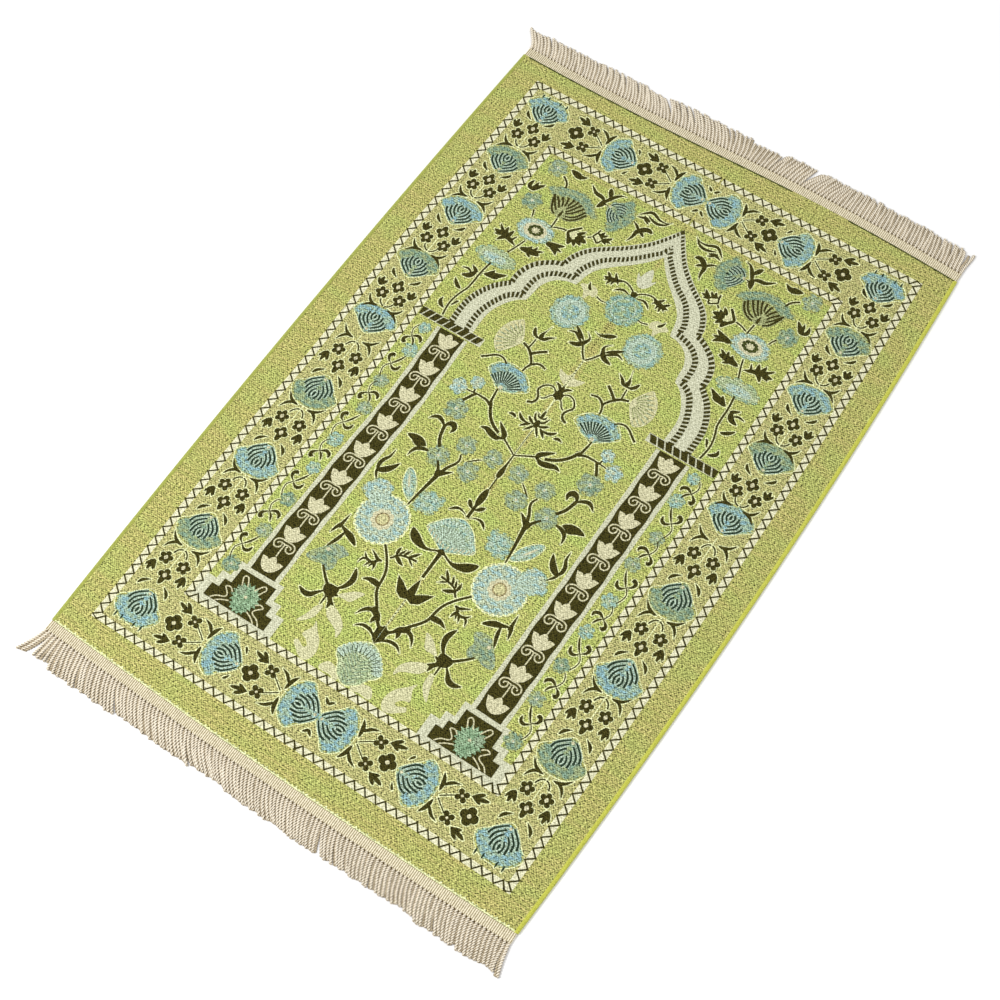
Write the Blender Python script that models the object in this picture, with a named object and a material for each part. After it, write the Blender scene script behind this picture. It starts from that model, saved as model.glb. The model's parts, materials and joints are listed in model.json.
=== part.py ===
"""A flat woven prayer rug: one chenille cloth with overlocked long sides, and a fringe of twisted
cords on a narrow heading along each short end.

Metres, +Z up. The rug lies on z = 0 with the middle of its whole plan at the origin. +Y runs
along its length, the way its woven niche points. "Near" is the -Y end and "far" the +Y end.
"""
import math

import bmesh
import bpy

# The cloth.
CLOTH_WIDTH = 0.700          # from corner to corner of one end
CLOTH_LENGTH = 1.052         # from corner to corner of one side
CLOTH_THICK = 0.0030
RIM_WIDTH = 0.0048           # the overlocked thread along each long side
RIM_HEIGHT = 0.0037          # a little proud of the cloth
RIM_ROUND = 0.0012           # the round of the rim and of its foot

# How the cloth lies: its sides and ends bow out, and the far end sways once from side to side.
LEFT_BOW = 0.007
RIGHT_BOW = 0.014
NEAR_BOW = 0.0055
FAR_BOW = 0.0035
FAR_SWAY = 0.0040
LAY_SHIFT_X = 0.0031         # brings the middle of the plan, fringes and all, to the origin
LAY_SHIFT_Y = -0.0007

# The fringe.
SEAM_GAP = 0.0003            # between the cloth's end and the heading
HEADING_DEPTH = 0.0140
HEADING_THICK = 0.0028
CORD_PITCH = 0.0055
CORD_WIDTH = 0.0038          # measured across the rug, so that leaning cords stay apart
CORD_HEIGHT = 0.0026
TIP_WIDTH = 0.0022
TIP_HEIGHT = 0.0016

# The steps of the meshes.
CLOTH_ROWS = 24
CLOTH_COLUMNS = 12

# One row for each clump of cords, from left to right, in millimetres:
# where its first root is, how far the tips of its first and last cord lean to the right of
# their roots, and how far its tips reach past the heading.
NEAR_CLUMPS = (
    # start, first_lean, last_lean, reach
    (-350, -16, -12, 42),
    (-338, -6, 4, 34),
    (-322, 9, 16, 41),
    (-285, 17, 20, 40),
    (-262, 20, 23, 40),
    (-230, 24, 29, 37),
    (-120, 30, 27, 34),
    (-64, 28, 22, 37),
    (35, 23, 13, 38),
    (88, 19, 19, 37),
    (105, 22, 17, 37),
    (122, 18, 13, 37),
    (160, 15, 14, 37),
    (186, 16, 16, 36),
    (224, 17, 14, 40),
    (251, 19, 12, 40),
    (285, 15, 10, 41),
    (325, 10, 8, 39),
    (343, 11, 12, 43),
)
FAR_CLUMPS = (
    (-350, -22, -20, 34),
    (-325, -19, -16, 36),
    (-290, -15, -15, 36),
    (-235, -15, -18, 38),
    (-180, -19, -20, 38),
    (-150, -20, -24, 35),
    (-112, -22, -24, 38),
    (-60, -23, -22, 38),
    (-20, -20, -5, 37),
    (10, -3, 4, 29),
    (45, 9, 8, 39),
    (95, 17, 8, 38),
    (145, 8, -3, 38),
    (190, -2, -4, 38),
    (240, -3, -7, 39),
    (300, -6, -7, 39),
    (343, -3, 5, 38),
)
MILLIMETRE = 0.001

# How a cord bends: the share of its reach, and the share of its lean that it has there.
CORD_STATIONS = ((0.30, 0.20), (0.64, 0.56), (1.00, 1.00))

# Colours are linear red, green and blue.
CLOTH_COLOUR = (0.47, 0.50, 0.13)
FRINGE_COLOUR = (0.72, 0.62, 0.46)
YARN_ROUGHNESS = 0.9


def clear_scene():
    for old in list(bpy.data.objects):
        bpy.data.objects.remove(old, do_unlink=True)


def yarn_material(name, colour):
    material = bpy.data.materials.new(name)
    material.use_nodes = True
    shader = material.node_tree.nodes["Principled BSDF"]
    shader.inputs["Base Color"].default_value = (*colour, 1.0)
    shader.inputs["Roughness"].default_value = YARN_ROUGHNESS
    shader.inputs["Metallic"].default_value = 0.0
    return material


def add_object(name, mesh_data, material):
    """Turns a bmesh into one object of that name and material."""
    mesh = bpy.data.meshes.new(name)
    mesh_data.normal_update()
    mesh_data.to_mesh(mesh)
    mesh_data.free()
    mesh.materials.append(material)
    piece = bpy.data.objects.new(name, mesh)
    bpy.context.scene.collection.objects.link(piece)
    return piece


def lay(x, y):
    """Where a place on the flat cut cloth comes to lie on the floor."""
    across = x / (CLOTH_WIDTH / 2)
    along = y / (CLOTH_LENGTH / 2)
    side_bow = RIGHT_BOW * (1 + across) / 2 - LEFT_BOW * (1 - across) / 2
    end_bow = FAR_BOW * (1 + along) / 2 - NEAR_BOW * (1 - along) / 2
    sway = FAR_SWAY * math.sin(math.pi * across) * (1 + along) / 2
    laid_x = x + side_bow * (1 - along * along) + LAY_SHIFT_X
    laid_y = y + end_bow * (1 - across * across) + sway + LAY_SHIFT_Y
    return laid_x, laid_y


def cloth_section():
    """The cloth's outline where it is cut across, as (flat x, z), once round from the left foot.

    The first CLOTH_COLUMNS + 1 points are the underside, from left to right.
    """
    half = CLOTH_WIDTH / 2
    foot = half - RIM_ROUND
    step = 2 * foot / CLOTH_COLUMNS
    underside = [(-foot + step * column, 0.0) for column in range(CLOTH_COLUMNS + 1)]
    rim = [
        (half, RIM_ROUND),
        (half, RIM_HEIGHT - RIM_ROUND),
        (half - RIM_ROUND, RIM_HEIGHT),
        (half - RIM_WIDTH + RIM_ROUND, RIM_HEIGHT),
        (half - RIM_WIDTH, CLOTH_THICK),
    ]
    inner = half - RIM_WIDTH
    step = 2 * inner / CLOTH_COLUMNS
    face = [(inner - step * column, CLOTH_THICK) for column in range(1, CLOTH_COLUMNS)]
    left_rim = [(-x, z) for x, z in reversed(rim)]
    return underside + rim + face + left_rim


def cap_end(data, ring):
    """Closes one end of the slab with upright strips, so that the face follows the end's bow."""
    underside = ring[:CLOTH_COLUMNS + 1]
    rim_points = (len(ring) - 2 * CLOTH_COLUMNS) // 2
    right_rim = ring[CLOTH_COLUMNS:CLOTH_COLUMNS + 1 + rim_points]
    left_rim = ring[-rim_points:] + ring[:1]
    top = ring[CLOTH_COLUMNS + rim_points:len(ring) + 1 - rim_points]
    top.reverse()
    for column in range(CLOTH_COLUMNS):
        data.faces.new((underside[column], underside[column + 1], top[column + 1], top[column]))
    data.faces.new(right_rim)
    data.faces.new(left_rim)


def build_cloth():
    """One closed slab: the section is swept from the near end to the far one and capped."""
    section = cloth_section()
    data = bmesh.new()
    rows = []
    for row in range(CLOTH_ROWS + 1):
        y = CLOTH_LENGTH * (row / CLOTH_ROWS - 0.5)
        rows.append([data.verts.new((*lay(x, y), z)) for x, z in section])
    count = len(section)
    for near, far in zip(rows, rows[1:]):
        for this in range(count):
            following = (this + 1) % count
            data.faces.new((near[this], far[this], far[following], near[following]))
    cap_end(data, rows[0])
    cap_end(data, rows[-1])
    bmesh.ops.recalc_face_normals(data, faces=data.faces)
    return add_object("rug_cloth", data, yarn_material("chenille", CLOTH_COLOUR))


def clump_values(clumps, x):
    """The lean and the reach of the cord whose root is at flat x, in metres."""
    row = max(index for index, clump in enumerate(clumps)
              if index == 0 or clump[0] * MILLIMETRE <= x)
    start, first_lean, last_lean, reach = clumps[row]
    following = clumps[row + 1][0] if row + 1 < len(clumps) else CLOTH_WIDTH / 2 / MILLIMETRE
    share = (x / MILLIMETRE - start) / (following - start)
    lean = first_lean + (last_lean - first_lean) * share
    return lean * MILLIMETRE, reach * MILLIMETRE


def section_ring(data, x, y, width, height):
    """Four points of a cord where it lies at (x, y): two on the floor and two above them."""
    left = x - width / 2
    right = x + width / 2
    corners = ((left, 0.0), (right, 0.0), (right, height), (left, height))
    return [data.verts.new((corner_x, y, z)) for corner_x, z in corners]


def bridge_rings(data, first, second):
    for this in range(len(first)):
        following = (this + 1) % len(first)
        data.faces.new((first[this], first[following], second[following], second[this]))


def build_fringe(name, end, clumps, material):
    """A heading with its cords in one solid. end is -1 for the near end and 1 for the far one.

    The heading is cut into columns, one for each cord's root and one for each space between.
    Each cord is drawn out of the outer face of its own column.
    """
    count = round(CLOTH_WIDTH / CORD_PITCH)
    pitch = CLOTH_WIDTH / count
    roots = [pitch * (cord + 0.5) - CLOTH_WIDTH / 2 for cord in range(count)]
    edges = []
    for root in roots:
        edges += [root - CORD_WIDTH / 2, root + CORD_WIDTH / 2]
    edges[0] = -CLOTH_WIDTH / 2
    edges[-1] = CLOTH_WIDTH / 2

    data = bmesh.new()
    columns = []
    for edge in edges:
        x, seam = lay(edge, end * CLOTH_LENGTH / 2)
        inner = seam + end * SEAM_GAP
        outer = inner + end * HEADING_DEPTH
        places = ((inner, 0.0), (outer, 0.0), (outer, HEADING_THICK), (inner, HEADING_THICK))
        columns.append([data.verts.new((x, y, z)) for y, z in places])
    for left, right in zip(columns, columns[1:]):
        data.faces.new((left[0], left[1], right[1], right[0]))
        data.faces.new((left[2], left[3], right[3], right[2]))
        data.faces.new((left[3], left[0], right[0], right[3]))
    data.faces.new(columns[0])
    data.faces.new(reversed(columns[-1]))
    for left, right in zip(columns[1::2], columns[2::2]):
        data.faces.new((left[1], left[2], right[2], right[1]))

    for cord, root in enumerate(roots):
        left, right = columns[2 * cord], columns[2 * cord + 1]
        ring = [left[1], right[1], right[2], left[2]]
        lean, reach = clump_values(clumps, root)
        x, seam = lay(root, end * CLOTH_LENGTH / 2)
        heading_edge = seam + end * (SEAM_GAP + HEADING_DEPTH)
        for out_share, lean_share in CORD_STATIONS:
            is_tip = out_share == 1.0
            width = TIP_WIDTH if is_tip else CORD_WIDTH
            height = TIP_HEIGHT if is_tip else CORD_HEIGHT
            place = (x + lean * lean_share, heading_edge + end * reach * out_share)
            following = section_ring(data, *place, width, height)
            bridge_rings(data, ring, following)
            ring = following
        data.faces.new(ring)
    bmesh.ops.recalc_face_normals(data, faces=data.faces)
    return add_object(name, data, material)


def build_rug():
    clear_scene()
    build_cloth()
    fringe_yarn = yarn_material("cotton_cord", FRINGE_COLOUR)
    build_fringe("fringe_near", -1, NEAR_CLUMPS, fringe_yarn)
    build_fringe("fringe_far", 1, FAR_CLUMPS, fringe_yarn)


build_rug()
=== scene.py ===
"""The looks of a woven prayer rug: a lime chenille cloth with its niche pattern, overlocked long
sides, and a fringe of twisted cords on a ribbed heading along each short end.

Metres, +Z up, in the part's own frame. Figures of the woven design are drawn in millimetres,
as the right half of the cloth lies on the floor: x is across and y along it, towards the point
of the niche. The left half repeats them over the design's long axis.
"""
import json
import math
import random

import bpy
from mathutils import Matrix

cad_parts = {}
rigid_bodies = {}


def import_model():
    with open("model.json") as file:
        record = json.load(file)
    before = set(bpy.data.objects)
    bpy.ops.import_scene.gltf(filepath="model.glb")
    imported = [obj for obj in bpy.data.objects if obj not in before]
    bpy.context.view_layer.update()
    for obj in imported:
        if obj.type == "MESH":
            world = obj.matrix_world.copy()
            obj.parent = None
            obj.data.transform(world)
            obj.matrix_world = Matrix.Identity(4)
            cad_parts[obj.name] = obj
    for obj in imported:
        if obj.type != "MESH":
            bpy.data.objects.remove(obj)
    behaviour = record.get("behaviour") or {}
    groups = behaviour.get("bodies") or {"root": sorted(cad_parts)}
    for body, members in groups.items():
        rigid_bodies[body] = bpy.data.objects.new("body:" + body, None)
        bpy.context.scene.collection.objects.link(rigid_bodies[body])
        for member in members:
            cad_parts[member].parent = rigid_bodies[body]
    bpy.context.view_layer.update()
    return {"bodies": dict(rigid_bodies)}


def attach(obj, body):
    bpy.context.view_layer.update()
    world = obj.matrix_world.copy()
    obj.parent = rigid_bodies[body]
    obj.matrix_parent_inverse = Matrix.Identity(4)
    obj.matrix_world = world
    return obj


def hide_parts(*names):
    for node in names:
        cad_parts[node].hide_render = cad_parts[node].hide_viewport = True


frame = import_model()
bpy.ops.object.select_all(action="DESELECT")
BODY = next(iter(frame["bodies"]))

# ---- The camera ------------------------------------------------------------------------------
# It stands off the near right corner and looks down on the whole rug, as a photographer on a
# step would, with a short telephoto lens.
bpy.ops.object.camera_add(
    location=(0.6468, -0.9015, 2.1465),
    rotation=(math.radians(25.60), math.radians(1.392), math.radians(34.28)),
)
camera = bpy.context.object
camera.name = "camera"
camera.data.lens = 67.15
bpy.context.scene.camera = camera

# ---- The floor and the light -----------------------------------------------------------------
# A plain white studio floor under a soft white dome, with one wide lamp from the front left
# that gives the cords and the far edge their faint shadows.
bpy.ops.mesh.primitive_plane_add(size=9.0, location=(0.0, 0.0, -0.0004))
floor = bpy.context.object
floor.name = "studio_floor"

floor_paint = bpy.data.materials.new("floor_paint")
floor_paint.use_nodes = True
floor_shader = floor_paint.node_tree.nodes["Principled BSDF"]
floor_shader.inputs["Base Color"].default_value = (0.97, 0.97, 0.97, 1.0)
floor_shader.inputs["Roughness"].default_value = 0.9
floor_shader.inputs["Specular IOR Level"].default_value = 0.0
floor.data.materials.append(floor_paint)

world = bpy.data.worlds.new("studio_dome")
bpy.context.scene.world = world
world.use_nodes = True
dome = world.node_tree.nodes["Background"]
dome.inputs["Color"].default_value = (1.0, 1.0, 1.0, 1.0)
dome.inputs["Strength"].default_value = 0.80

bpy.ops.object.light_add(type="AREA", location=(-1.6, -1.5, 2.6))
key_lamp = bpy.context.object
key_lamp.name = "key_lamp"
key_lamp.data.shape = "DISK"
key_lamp.data.size = 1.3
key_lamp.data.energy = 62.0
key_lamp.rotation_euler = (math.radians(40.0), 0.0, math.radians(-46.0))
bpy.context.scene.view_settings.view_transform = "Standard"

# ---- The cloth -------------------------------------------------------------------------------
# One piece of chenille, 0.70 m by 1.05 m and 3 mm thick: soft tufted weft lines run across it
# on a fine warp. It lies flat, with its sides and ends a little bowed.
CLOTH_WIDTH = 0.700
CLOTH_LENGTH = 1.052
CLOTH_FACE = 0.0030
LEFT_BOW = 0.007
RIGHT_BOW = 0.014
NEAR_BOW = 0.0055
FAR_BOW = 0.0035
FAR_SWAY = 0.0040
LAY_SHIFT_X = 0.0031
LAY_SHIFT_Y = -0.0007
CLOTH_SIDE_GAP = 0.0004      # between the cloth's edge and the outside of its overlocked rim
WEFT_PITCH = 0.00215
KNOT_PITCH = 0.0034
ROW_WAVER = (55.0, 0.0016)   # how fine and how wide the weft lines waver, and the knots drift
KNOT_DRIFT = (140.0, 0.003)
TUFTS = (340.0, 620.0, 1.0)  # how many tufts to a metre, across and along; the same for the rest
MOTTLE = (110.0, 170.0, 1.0)
STREAKS = (34.0, 400.0, 1.0)
WIDE_DRIFTS = (16.0, 34.0, 1.0)
MOTTLE_BLUR = 0.08
KNOT_SHARE = 0.22
TUFT_SHARE = 1.4
SHADES = ((0.0, (0.02, 0.02, 0.01, 1)), (0.5, (0.84, 0.84, 0.87, 1)), (1.0, (1.66, 1.66, 1.95, 1)))


def lay(x, y):
    """Where a place on the flat cut cloth comes to lie, in metres."""
    across = x / (CLOTH_WIDTH / 2)
    along = y / (CLOTH_LENGTH / 2)
    side_bow = RIGHT_BOW * (1 + across) / 2 - LEFT_BOW * (1 - across) / 2
    end_bow = FAR_BOW * (1 + along) / 2 - NEAR_BOW * (1 - along) / 2
    sway = FAR_SWAY * math.sin(math.pi * across) * (1 + along) / 2
    laid_x = x + side_bow * (1 - along * along) + LAY_SHIFT_X
    laid_y = y + end_bow * (1 - across * across) + sway + LAY_SHIFT_Y
    return laid_x, laid_y


def linear(red, green, blue):
    """A colour as a dyer's card shows it, 0 to 255, made linear for a shader."""
    shares = [value / 255 for value in (red, green, blue)]
    curve = [s / 12.92 if s <= 0.04045 else ((s + 0.055) / 1.055) ** 2.4 for s in shares]
    return (*curve, 1.0)


def noise_on(tree, coordinates, scale, detail, stretch=(1.0, 1.0, 1.0)):
    """A noise texture on object coordinates, squeezed along each axis by stretch."""
    mapping = tree.nodes.new("ShaderNodeMapping")
    mapping.inputs["Scale"].default_value = stretch
    tree.links.new(coordinates, mapping.inputs["Vector"])
    noise = tree.nodes.new("ShaderNodeTexNoise")
    noise.inputs["Scale"].default_value = scale
    noise.inputs["Detail"].default_value = detail
    tree.links.new(mapping.outputs["Vector"], noise.inputs["Vector"])
    return noise.outputs["Fac"]


def ramp_of(tree, factor, stops):
    """A colour ramp: stops are (place, linear colour)."""
    ramp = tree.nodes.new("ShaderNodeValToRGB")
    elements = ramp.color_ramp.elements
    while len(elements) < len(stops):
        elements.new(0.5)
    for element, (place, colour) in zip(elements, stops):
        element.position = place
        element.color = colour
    tree.links.new(factor, ramp.inputs["Fac"])
    return ramp.outputs["Color"]


def mix_of(tree, factor, first, second, blend="MIX"):
    """Two colours mixed by a factor; each of the three is a socket or a plain value."""
    mix = tree.nodes.new("ShaderNodeMix")
    mix.data_type = "RGBA"
    mix.blend_type = blend
    for value, socket in ((factor, mix.inputs[0]), (first, mix.inputs[6]), (second, mix.inputs[7])):
        if isinstance(value, bpy.types.NodeSocket):
            tree.links.new(value, socket)
        else:
            socket.default_value = value
    return mix.outputs[2]


def sum_of(tree, operation, first, second=0.0):
    """One step of arithmetic on shader values."""
    step = tree.nodes.new("ShaderNodeMath")
    step.operation = operation
    for value, socket in ((first, step.inputs[0]), (second, step.inputs[1])):
        if isinstance(value, bpy.types.NodeSocket):
            tree.links.new(value, socket)
        else:
            socket.default_value = value
    return step.outputs[0]


def woven_finish(name, dye, other=None, below=0.0, streak=None, drifts=None, depth=1.0):
    """Chenille yarn in rows of knots and tufts, some of them deeper and some paler than its dye.

    other is the dye of a second yarn that shows where a mottle is below that value, streak one
    that the dye turns to now and then along a row, drifts one that it turns to in wide patches,
    and depth how far the shades lie apart.
    """
    finish = bpy.data.materials.new(name)
    finish.use_nodes = True
    tree = finish.node_tree
    shader = tree.nodes["Principled BSDF"]
    place = tree.nodes.new("ShaderNodeTexCoord").outputs["Object"]
    parts = tree.nodes.new("ShaderNodeSeparateXYZ")
    tree.links.new(place, parts.inputs[0])
    waver, drift = (sum_of(tree, "MULTIPLY", noise_on(tree, place, fineness, 1.0), width)
                    for fineness, width in (ROW_WAVER, KNOT_DRIFT))
    rows = sum_of(tree, "DIVIDE", sum_of(tree, "ADD", parts.outputs["Y"], waver), WEFT_PITCH)
    columns = sum_of(tree, "DIVIDE", sum_of(tree, "ADD", parts.outputs["X"], drift), KNOT_PITCH)
    row_wave, knot_wave = (
        sum_of(tree, "SINE", sum_of(tree, "MULTIPLY", steps, turn))
        for steps, turn in ((rows, math.pi), (columns, math.tau)))
    knots = sum_of(tree, "MULTIPLY", row_wave, knot_wave)
    tufts = sum_of(tree, "SUBTRACT", noise_on(tree, place, 1.0, 0.0, TUFTS), 0.5)
    shade = sum_of(tree, "ADD", sum_of(tree, "MULTIPLY", knots, KNOT_SHARE * depth),
                   sum_of(tree, "MULTIPLY", tufts, TUFT_SHARE * depth))
    strength = ramp_of(tree, sum_of(tree, "ADD", shade, 0.5), SHADES)
    if streak:
        streaks = noise_on(tree, place, 1.0, 1.0, STREAKS)
        share_of_streak = ramp_of(tree, streaks, ((0.40, (0, 0, 0, 1)), (0.62, (1, 1, 1, 1))))
        dye = mix_of(tree, share_of_streak, dye, streak)
    if drifts:
        wide = noise_on(tree, place, 1.0, 2.0, WIDE_DRIFTS)
        share_of_drift = ramp_of(tree, wide, ((0.46, (0, 0, 0, 1)), (0.66, (1, 1, 1, 1))))
        dye = mix_of(tree, share_of_drift, dye, drifts)
    if other:
        mottle = noise_on(tree, place, 1.0, 1.0, MOTTLE)
        shows = ramp_of(tree, mottle, ((below - MOTTLE_BLUR, (1, 1, 1, 1)),
                                       (below + MOTTLE_BLUR, (0, 0, 0, 1))))
        dye = mix_of(tree, shows, dye, other)
    tree.links.new(mix_of(tree, 1.0, strength, dye, "MULTIPLY"), shader.inputs["Base Color"])
    shader.inputs["Roughness"].default_value = 0.95
    shader.inputs["Specular IOR Level"].default_value = 0.1
    return finish


def fit_out(piece, finish):
    """Gives a finished piece its yarn and the body it belongs to."""
    piece.data.materials.clear()
    piece.data.materials.append(finish)
    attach(piece, BODY)
    return piece


LIME = linear(176, 176, 98)
lime_yarn = woven_finish("lime_chenille", LIME, streak=linear(192, 184, 110),
                         drifts=linear(178, 184, 102))

bpy.ops.mesh.primitive_grid_add(x_subdivisions=48, y_subdivisions=72, size=1.0)
cloth = bpy.context.object
cloth.name = "chenille_cloth"
bpy.ops.object.mode_set(mode="EDIT")
bpy.ops.mesh.select_all(action="SELECT")
bpy.ops.transform.resize(value=(CLOTH_WIDTH - 2 * CLOTH_SIDE_GAP, CLOTH_LENGTH, 1.0))
bpy.ops.transform.translate(value=(0.0, 0.0, CLOTH_FACE))
bpy.ops.object.mode_set(mode="OBJECT")
for corner in cloth.data.vertices:
    corner.co.x, corner.co.y = lay(corner.co.x, corner.co.y)
body = cloth.modifiers.new("body", "SOLIDIFY")
body.thickness = CLOTH_FACE - 0.0002
body.offset = -1.0
bpy.ops.object.modifier_apply(modifier=body.name)
fit_out(cloth, lime_yarn)
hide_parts("rug_cloth")
on_cloth = []

# ---- How the figures are woven ---------------------------------------------------------------
# Each figure is chenille of another dye, worked into the cloth with the same weft lines, and its
# tufts stand a few tenths of a millimetre proud of the ground. Figures are drawn in millimetres,
# as the right half of the cloth lies; the left half repeats them over the design's long axis.
MILLIMETRE = 0.001
FIGURE_BODY = 0.0007
CLOTH_HALF_LENGTH = 526.0
AXIS_AT_END = 1.5
AXIS_BOW = 3.5
AXIS_FAR_SHIFT = 1.25
SIDE_SPREAD = 0.0177
FAR_NARROWING = 0.0139
HALF_SKEW = 0.031
OUTLINE_WIDTH = 1.4
FIGURE_LIFT = 0.00125    # between two levels of one yarn
LIFTS = 17
AXIS_REACH = 250.0       # how far out the left half is still folded over the wandering axis
SWAY_REACH = 100.0       # how far out the left half's sway is full
# (y, how far the left half lies to the right there), and (y, where the woven axis runs).
LEFT_SWAY = ((-540, 0), (-440, 0), (-260, -1.4), (-140, -0.4), (-60, 1.4), (-10, 1.4), (50, -0.4),
             (100, -2.8), (150, -4.2), (220, -4.5), (270, -3.8), (330, -1.4), (400, 0), (540, 0))
AXIS_WANDER = ((-540, 3.6), (-310, 2.2), (-20, 0.8), (150, -0.8), (270, 0.2), (356, 2.5),
               (540, 1.0))


def design_axis(y):
    """Where the design's long axis lies at y."""
    along = y / CLOTH_HALF_LENGTH
    return AXIS_AT_END + AXIS_BOW * (1 - along * along) + AXIS_FAR_SHIFT * max(along, 0.0)


def across(distance, y):
    """Where a straight line of the design, that far from its axis, lies on the right half."""
    along = y / CLOTH_HALF_LENGTH
    spread = 1 + SIDE_SPREAD * (1 - along * along) - FAR_NARROWING * max(along, 0.0)
    return design_axis(y) + distance * spread


def level_at(levels, y):
    """The value at y of a line drawn through (y, value) pairs."""
    for (low, at_low), (high, at_high) in zip(levels, levels[1:]):
        if y <= high:
            return at_low + (at_high - at_low) * (y - low) / (high - low)
    return levels[-1][1]


def on_left_half(x, y):
    """Where a point of the right half comes again on the left half, which lies a bit nearer."""
    along = y / CLOTH_HALF_LENGTH
    centre = level_at(AXIS_WANDER, y)
    share = min(abs(x - centre) / AXIS_REACH, 1.0)
    from_axis = x - centre - (design_axis(y) - centre) * share
    sway = level_at(LEFT_SWAY, y) * min(abs(from_axis) / SWAY_REACH, 1.0)
    return x - 2 * from_axis + sway, y - HALF_SKEW * from_axis * (1 - along * along)


def placed(points, x, y, turn=0.0, wide=1.0, high=1.0):
    """Points of a small motif, sized, turned by so many degrees and set down at (x, y)."""
    cosine = math.cos(math.radians(turn))
    sine = math.sin(math.radians(turn))
    return [(x + wide * px * cosine - high * py * sine, y + wide * px * sine + high * py * cosine)
            for px, py in points]


def curve_through(points, steps=5, closed=False):
    """A smooth line through a few points."""
    count = len(points)
    line = []
    for number in range(count if closed else count - 1):
        if closed:
            before, start, end, after = (points[(number + k) % count] for k in (-1, 0, 1, 2))
        else:
            before, start = points[max(number - 1, 0)], points[number]
            end, after = points[number + 1], points[min(number + 2, count - 1)]
        for step in range(steps):
            t = step / steps
            line.append(tuple(
                0.5 * (2 * s + (e - b) * t + (2 * b - 5 * s + 4 * e - a) * t * t
                       + (3 * s - b - 3 * e + a) * t ** 3)
                for b, s, e, a in zip(before, start, end, after)
            ))
    if not closed:
        line.append(points[-1])
    return line


def ribbon(line, half_widths, grow):
    """A strip of short faces along a line, as wide on each side of it as half_widths."""
    count = len(line)
    left, right = [], []
    for number, (x, y) in enumerate(line):
        before, after = line[max(number - 1, 0)], line[min(number + 1, count - 1)]
        run_x, run_y = after[0] - before[0], after[1] - before[1]
        length = math.hypot(run_x, run_y) or 1.0
        run_x, run_y = run_x / length, run_y / length
        reach = grow * ((number == count - 1) - (number == 0))
        x, y = x + run_x * reach, y + run_y * reach
        half = half_widths[number] + grow
        left.append((x - run_y * half, y + run_x * half))
        right.append((x + run_y * half, y - run_x * half))
    return left + right, [(k, k + 1, count + k + 1, count + k) for k in range(count - 1)]


def leaf(points, width, fullest=0.45, grow=0.0):
    """A curved leaf or stroke, pointed at both ends; fullest is where along it is widest."""
    line = curve_through(points)
    power = math.log(0.5) / math.log(fullest)
    shares = [number / (len(line) - 1) for number in range(len(line))]
    halves = [0.5 * width * math.sin(math.pi * share ** power) ** 0.8 for share in shares]
    return ribbon(line, [max(half, 0.12) for half in halves], grow)


def stem(points, width, end_width=None, grow=0.0):
    """A curved stroke of one width, or one that changes evenly to end_width."""
    line = curve_through(points)
    last = width if end_width is None else end_width
    halves = [0.5 * (width + (last - width) * number / (len(line) - 1))
              for number in range(len(line))]
    return ribbon(line, halves, grow)


def grown(outline, by):
    """A closed outline, taken anticlockwise, moved outwards by so much."""
    count = len(outline)
    area = sum(outline[k - 1][0] * outline[k][1] - outline[k][0] * outline[k - 1][1]
               for k in range(count))
    moved = []
    for number, (x, y) in enumerate(outline):
        before, after = outline[number - 1], outline[(number + 1) % count]
        first = math.atan2(y - before[1], x - before[0])
        second = math.atan2(after[1] - y, after[0] - x)
        half_turn = (second - first + math.pi) % math.tau / 2 - math.pi / 2
        out = first + half_turn - math.copysign(math.pi / 2, area)
        reach = by / max(math.cos(half_turn), 0.55)
        moved.append((x + reach * math.cos(out), y + reach * math.sin(out)))
    return moved


def patch(points, smooth=True, grow=0.0):
    """One closed shape through its points."""
    outline = curve_through(points, 4, closed=True) if smooth else list(points)
    return grown(outline, grow), [tuple(range(len(outline)))]


def rosette(centre, radius, petals, depth, turn=90.0, high=1.0, grow=0.0):
    """A flower head of rounded petals; depth is how far they are cut in, as a share."""
    steps = petals * 6
    outline = []
    for step in range(steps):
        angle = math.tau * step / steps
        reach = radius * (1 - depth * (1 - abs(math.cos(petals * angle / 2)) ** 0.7)) + grow
        heading = angle + math.radians(turn)
        outline.append((centre[0] + reach * math.cos(heading),
                        centre[1] + reach * math.sin(heading) * high))
    return outline, [tuple(range(steps))]


def spiky(centre, radius, points, depth, turn=90.0, high=1.0, grow=0.0):
    """A flower head or disc with a ragged, tufted edge of many short points."""
    outline = []
    for step in range(2 * points):
        angle = math.pi * step / points + math.radians(turn)
        reach = radius * (1 - depth * (step % 2)) + grow
        outline.append((centre[0] + reach * math.cos(angle),
                        centre[1] + reach * math.sin(angle) * high))
    return outline, [tuple(range(2 * points))]


def hoop(centre, radius, inner, petals, depth, turn=90.0, high=1.0, grow=0.0):
    """A ring with a petalled outer edge; inner is the radius of the round hole."""
    outer, _ = rosette(centre, radius, petals, depth, turn, high, grow)
    count = len(outer)
    hole = []
    for step in range(count):
        angle = math.tau * step / count + math.radians(turn)
        hole.append((centre[0] + (inner - grow) * math.cos(angle),
                     centre[1] + (inner - grow) * math.sin(angle) * high))
    return outer + hole, [(k, (k + 1) % count, count + (k + 1) % count, count + k)
                          for k in range(count)]


def around(centre, heading, reach, high=None):
    """The place at that heading and reach from a centre, or on an oval as high as high."""
    return (centre[0] + reach * math.cos(heading),
            centre[1] + (reach if high is None else high) * math.sin(heading))


pattern = {}             # of each yarn: its points and faces since the last group was woven
figures_laid = {}        # of each yarn: the boxes and levels of all its figures


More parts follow.
